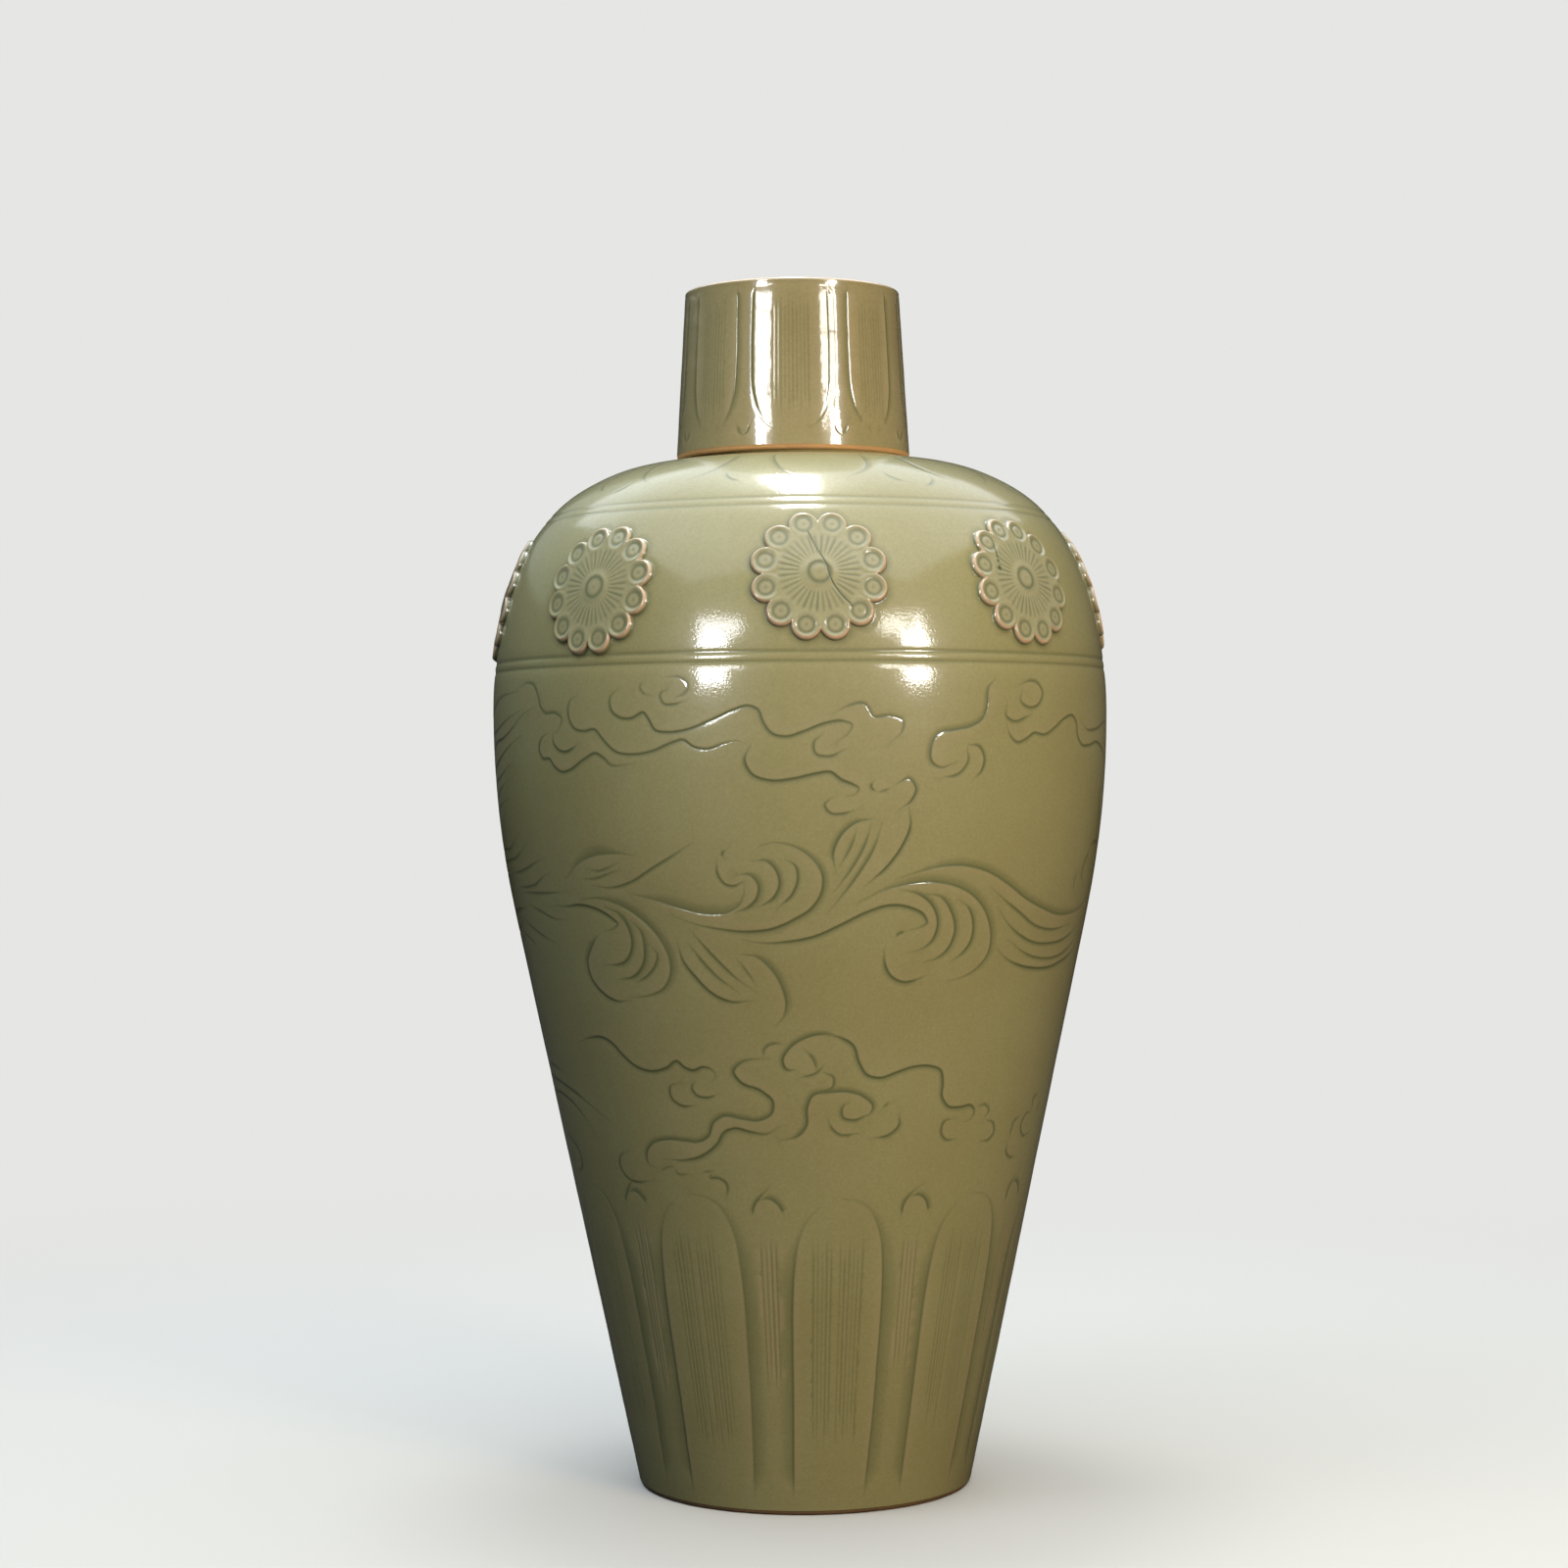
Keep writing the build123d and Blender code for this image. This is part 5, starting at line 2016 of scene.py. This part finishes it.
@dataclass
class Medallions:
    """The eight moulded flower medallions sprigged round the shoulder.

    One mould gives them all; a Geometry Nodes tree turns each cast to its own place.

    Attributes:
        glaze: The thin glaze over the relief.
        mould: Their outline and their lie on the shoulder.
        count: Number of medallions.
        thickness: Height of the bead above the shoulder.
        field_drop: How far the field lies below the bead.
        bead: Width of the bead.
        boss: Radius of the boss.
        boss_rise: Height of the boss above the field.
        flutes: Number of radial flutes.
        around: Steps round a medallion.
    """

    glaze: bpy.types.Material
    mould: Mould
    count: int = 8
    thickness: float = 1.46
    field_drop: float = 0.38
    bead: float = 0.85
    boss: float = 4.6
    boss_rise: float = 0.26
    flutes: int = 36
    around: int = 288

    def _lobe_distance(self, radius: Array, turn: Array) -> Array:
        """Distance to the middle of the nearest lobe."""
        offset, place = self.mould.from_lobe(turn)
        return np.hypot(radius * np.cos(offset) - place, radius * np.sin(offset))

    def _relief(self, radius: Array, turn: Array) -> Relief:
        """The mould's relief.

        Args:
            radius: Distances from the middle.
            turn: Angles round it.

        Returns:
            Height above the shoulder, pooled glaze and thin glaze at each place.
        """
        edge = self.mould.edge(turn)
        near = self._lobe_distance(radius, turn)
        lobe = self.mould.lobe
        # The bead that edges each lobe, strongest on the outer side, and the stamped ring and dot in it.
        outer = eased(self.mould.radius - 2 * lobe + 1.6, self.mould.radius - lobe + 0.4, radius)
        bead = bump_at(near, lobe - 0.75, self.bead) * (0.25 + 0.75 * outer) * eased(lobe + 0.9, lobe, near)
        ring = bump_at(near, 2.4, 0.58)
        dot = bump_at(near, 0.0, 0.6)
        # The flutes between the boss and the lobes, and the boss with its own ring.
        reach = 1 - eased(11.6, 13.6, radius)
        fluted = eased(self.boss + 1.0, self.boss + 2.6, radius) * reach
        groove = (0.5 - 0.5 * np.cos(self.flutes * turn)) ** 1.6 * fluted
        boss = 1 - eased(3.6, 6.0, radius)
        boss_ring = bump_at(radius, 3.3, 0.75)
        height = (
            self.thickness - self.field_drop + self.field_drop * bead - 0.06 * ring - 0.05 * dot
            - 0.045 * groove + self.boss_rise * boss - 0.12 * boss_ring
        )
        inside = np.clip((edge - radius) / 1.2, 0.0, 1.0)
        height = height * np.sqrt(1 - (1 - inside) ** 2)
        # Glaze pools in every stamped hollow and at the foot of the edge, and is worn off the bead.
        foot = bump_at(edge - radius, 0.0, 0.22)
        uneven = 0.75 + 0.25 * np.sin(7 * turn + 1) * np.sin(11 * turn)
        marks = (
            0.72 * ring + 0.45 * dot + 0.8 * boss_ring + 0.35 * bump_at(radius, 0.0, 0.5)
            + 0.75 * groove * uneven
        )
        pool = np.clip(marks + 0.8 * foot, 0, 1)
        worn = (0.3 + 0.7 * outer) * (0.78 - 0.22 * np.cos(turn))
        thin = np.clip(bump_at(edge - radius, 0.62, 0.36) * worn, 0, 1) * (1 - pool)
        return Relief(height, pool, thin)

    def _stations(self) -> Array:
        """Works out where the mould's rings lie, close together in the boss, the rings and the bead.

        Returns:
            Shares of the radius.
        """
        fine = [0.0, 0.4, 0.8, 1.3, 1.8, 2.3, 2.7, 3.0, 3.3, 3.6, 3.9, 4.2, 4.5, 4.8, 5.1, 5.5, 6.0, 6.8, 7.8,
                9.0, 10.2, 11.2, 12.0, 12.6, 13.1, 13.5, 13.9]
        tip = self.mould.radius
        return np.concatenate((np.array(fine) / tip, np.arange(14.25, tip - 1.4, 0.36) / tip,
                               np.arange(tip - 1.3, tip, 0.2) / tip, [1.0]))

    def _cast(self, level: float, cracks: Sequence[Path]) -> MeshParts:
        """One cast at the front of the vase.

        Args:
            level: Height of its middle.
            cracks: Hairline cracks, as (across, up) points from its middle.

        Returns:
            The closed mesh.
        """
        shares = self._stations()
        turns = np.arange(self.around) * math.tau / self.around
        share, turn = np.meshgrid(shares[1:], turns, indexing="ij")
        edge = self.mould.edge(turn)
        radius = share * (self.mould.radius + (edge - self.mould.radius) * share**5)
        across, up = radius * np.sin(turn), radius * np.cos(turn)
        relief = self._relief(radius, turn)
        pool = relief.pool
        depth = np.zeros_like(pool)
        for crack in cracks:
            curve = smooth_curve(np.array(crack), 0.2)
            gaps = (across[..., None] - curve[:, 0]) ** 2 + (up[..., None] - curve[:, 1]) ** 2
            mark = bump_at(np.sqrt(gaps.min(axis=-1)), 0.0, 0.2)
            pool = np.maximum(pool, 2.0 * mark)
            depth = np.maximum(depth, 0.2 * mark)
        parts = MeshParts()
        middle = self._relief(np.zeros(1), np.zeros(1))
        place = self.mould.spots
        pole = parts.add(place(level, np.zeros(1), np.zeros(1), middle.depth), middle.pool, middle.thin)
        lift = (relief.depth - depth).ravel()
        first = parts.add(place(level, across.ravel(), up.ravel(), lift), pool.ravel(), relief.thin.ravel())
        rows = len(shares) - 1
        under = np.full(self.around, -0.35)
        back = parts.add(place(level, across[-1], up[-1], under), pool[-1])
        inner = parts.add(place(level, across[-1] / 2, up[-1] / 2, under))
        last = parts.add(place(level, np.zeros(1), np.zeros(1), under[:1]))
        for i in range(self.around):
            j = (i + 1) % self.around
            parts.faces.append((pole, first + j, first + i))
            for row in range(rows - 1):
                low = first + row * self.around
                parts.faces.append((low + i, low + j, low + self.around + j, low + self.around + i))
            outer = first + (rows - 1) * self.around
            parts.faces.append((outer + i, outer + j, back + j, back + i))
            parts.faces.append((back + i, back + j, inner + j, inner + i))
            parts.faces.append((inner + i, inner + j, last))
        parts.skins = [0] * len(parts.faces)
        return parts

    def _tree(self) -> GeometryTree:
        """The tree that turns a cast to its place.

        Returns:
            The tree.
        """
        made = GeometryTree("sprigged_medallion")
        angle = made.value("Angle", "NodeSocketFloat")
        material = made.value("Material", "NodeSocketMaterial")
        turn = add_node(made.tree, "ShaderNodeCombineXYZ", Z=angle).outputs[0]
        cast = made.start.outputs["Geometry"]
        placed = add_node(made.tree, "GeometryNodeTransform", Geometry=cast, Rotation=turn)
        made.finish(placed.outputs[0], material)
        return made

    def build(self) -> list[bpy.types.Object]:
        """Builds the medallions.

        Returns:
            The eight medallions.
        """
        tree = self._tree()
        made = []
        for number in range(1, self.count + 1):
            angle, level = self.mould.seat(number)
            cast = self._cast(level, CRACKS.get(number, ()))
            cast = cast.build(f"medallion_{number}_sprigged", (self.glaze,))
            tree.run(cast, {"Angle": angle, "Material": self.glaze})
            made.append(ride_and_replace(cast, "vase", "medallion_glaze", f"medallion_{number}"))
        return made


class Lit(Enum):
    """What a lamp shows in: whether the glaze mirrors it, and whether it lights the colour."""

    BOTH = (True, True)
    COLOUR = (False, True)
    MIRROR = (True, False)


@dataclass(frozen=True)
class Softbox:
    """A softbox that faces the vase.

    Attributes:
        name: The lamp's name.
        azimuth: Degrees to the right of the camera.
        rise: Degrees above level.
        size: Width and height in metres.
        power: Watts.
        colour: Its colour.
        lit: What it shows in.
        distance: Metres from the vase's middle.
        aim: Height of the vase's middle in metres.
    """

    name: str
    azimuth: float
    rise: float
    size: tuple[float, float]
    power: float
    colour: str = "ffffff"
    lit: Lit = Lit.BOTH
    distance: float = 1.35
    aim: float = 0.24

    def hang(self) -> None:
        """Adds the lamp to the scene."""
        data = bpy.data.lights.new(self.name, "AREA")
        data.shape = "RECTANGLE"
        data.size, data.size_y = self.size
        data.energy = self.power
        data.color = linear(self.colour)[:3]
        lamp = linked(self.name, data)
        around, up = math.radians(self.azimuth), math.radians(self.rise)
        away = Vector((math.sin(around) * math.cos(up), -math.cos(around) * math.cos(up), math.sin(up)))
        lamp.location = Vector((0.0, 0.0, self.aim)) + away * self.distance
        lamp.rotation_euler = away.to_track_quat("Z", "Y").to_euler()
        lamp.visible_glossy, lamp.visible_diffuse = self.lit.value


@dataclass
class Studio:
    """A pale floor, soft lamps and the camera at the photograph's angle.

    Attributes:
        camera_place: The camera's place in millimetres.
        roll: Degrees that the picture leans to the left.
        focal: Focal length in pixels of the 1600 pixel frame.
        frame_size: Width of the frame in pixels.
        floor: Half the floor's width in metres.
        fill: Colour of the even fill from the backdrop.
        fill_strength: Strength of that fill.
        lamps: The softboxes round the vase.
    """

    camera_place: tuple[float, float, float] = (-5.5, -1062.5, 234.0)
    roll: float = 0.42
    focal: float = 3214.0
    frame_size: float = 1600.0
    floor: float = 6.0
    fill: str = "e9ecee"
    fill_strength: float = 0.04
    lamps: tuple[Softbox, ...] = (
        Softbox("key_right", 37, 15, (0.4, 0.4), 8.4, "ffd69a", lit=Lit.COLOUR),
        Softbox("wash_front", 15, 7, (0.4, 0.4), 1.55, "fffaf0", lit=Lit.COLOUR, distance=0.7),
        Softbox("wash_low", 16, 0, (0.5, 0.3), 1.2, "fffaf0", lit=Lit.COLOUR),
        Softbox("wash_left", -55, 50, (0.3, 0.3), 1.45, "f0f6ff", lit=Lit.COLOUR, distance=0.75),
        Softbox("glint_left", -31.5, 12.3, (0.23, 0.24), 8.0, "fbfcff", lit=Lit.MIRROR),
        Softbox("glint_right", 42, 12.3, (0.22, 0.24), 7.6, "fffcf6", lit=Lit.MIRROR),
        Softbox("glint_cap_left", -29.5, 19.8, (0.36, 0.11), 2.6, "fbfcff", lit=Lit.MIRROR),
        Softbox("glint_cap_right", 34.3, 19.8, (0.24, 0.11), 1.7, "fffcf6", lit=Lit.MIRROR),
        Softbox("glint_cap_edge", 44, 19.8, (0.08, 0.11), 0.8, "fffcf6", lit=Lit.MIRROR),
        Softbox("glint_top", 5, 97, (0.2, 0.75), 13.0, lit=Lit.MIRROR),
        Softbox("overhead", 4, 90, (3.0, 3.0), 57.0, "eff7ff"),
        Softbox("top_light", 6, 99, (0.34, 0.34), 5.0, lit=Lit.COLOUR),
        Softbox("sheen_left", -135, 34, (1.0, 0.8), 0.9, "f0fff8"),
        Softbox("wash_back", 170, 24, (1.2, 1.2), 6.0, "f4f6f4", lit=Lit.COLOUR),
    )

    def build(self) -> None:
        """Sets up the floor, the light, the background and the camera."""
        bpy.context.scene.view_settings.view_transform = "Standard"
        self._camera()
        self._floor()
        self._world()
        for lamp in self.lamps:
            lamp.hang()

    def _camera(self) -> None:
        """Creates the level camera."""
        data = bpy.data.cameras.new("camera")
        data.sensor_width = 36.0
        data.lens = data.sensor_width * self.focal / self.frame_size
        camera = linked("camera", data)
        camera.matrix_world = (
            Matrix.Translation(Vector(self.camera_place) * MM)
            @ Euler((math.pi / 2, 0.0, 0.0)).to_matrix().to_4x4()
            @ Matrix.Rotation(math.radians(-self.roll), 4, "Z")
        )
        bpy.context.scene.camera = camera

    def _floor(self) -> None:
        """Lays the floor."""
        mesh = bpy.data.meshes.new("studio_floor")
        side = self.floor
        corners = [(-side, -side, 0), (side, -side, 0), (side, side, 0), (-side, side, 0)]
        mesh.from_pydata(corners, [], [(0, 1, 2, 3)])
        mesh.materials.append(PaleFloor().build())
        floor = linked("studio_floor", mesh)

    def _world(self) -> None:
        """Gives a low even fill, seen as a pale backdrop."""
        world = bpy.data.worlds.new("studio")
        bpy.context.scene.world = world
        world.use_nodes = True
        tree = world.node_tree
        tree.nodes.clear()
        seen_by_camera = add_node(tree, "ShaderNodeLightPath").outputs["Is Camera Ray"]
        fill, seen = (
            add_node(
                tree, "ShaderNodeBackground", {"in:Color": linear(colour), "in:Strength": strength},
            ).outputs[0]
            for colour, strength in ((self.fill, self.fill_strength), (PaleFloor.backdrop, 1.0))
        )
        shown = add_node(tree, "ShaderNodeMixShader", i0=seen_by_camera, i1=fill, i2=seen)
        add_node(tree, "ShaderNodeOutputWorld", Surface=shown.outputs[0])


def main() -> None:
    """Builds the studio and the vase, piece by piece."""
    logging.basicConfig(level=logging.INFO, format="%(message)s")
    Studio().build()
    body_glaze, inside_glaze = Glaze.BODY.value.build(), Glaze.INSIDE.value.build()
    body = CarvedBody(body_glaze, inside_glaze, Clay.FOOT.value.build())
    body.build()
    Neck(body_glaze).build()
    Medallions(Glaze.MEDALLION.value.build(), body.mould).build()
    CarvedCap(Glaze.CAP.value.build(), inside_glaze, Clay.RIM.value.build()).build()


if __name__ == "__main__":
    main()
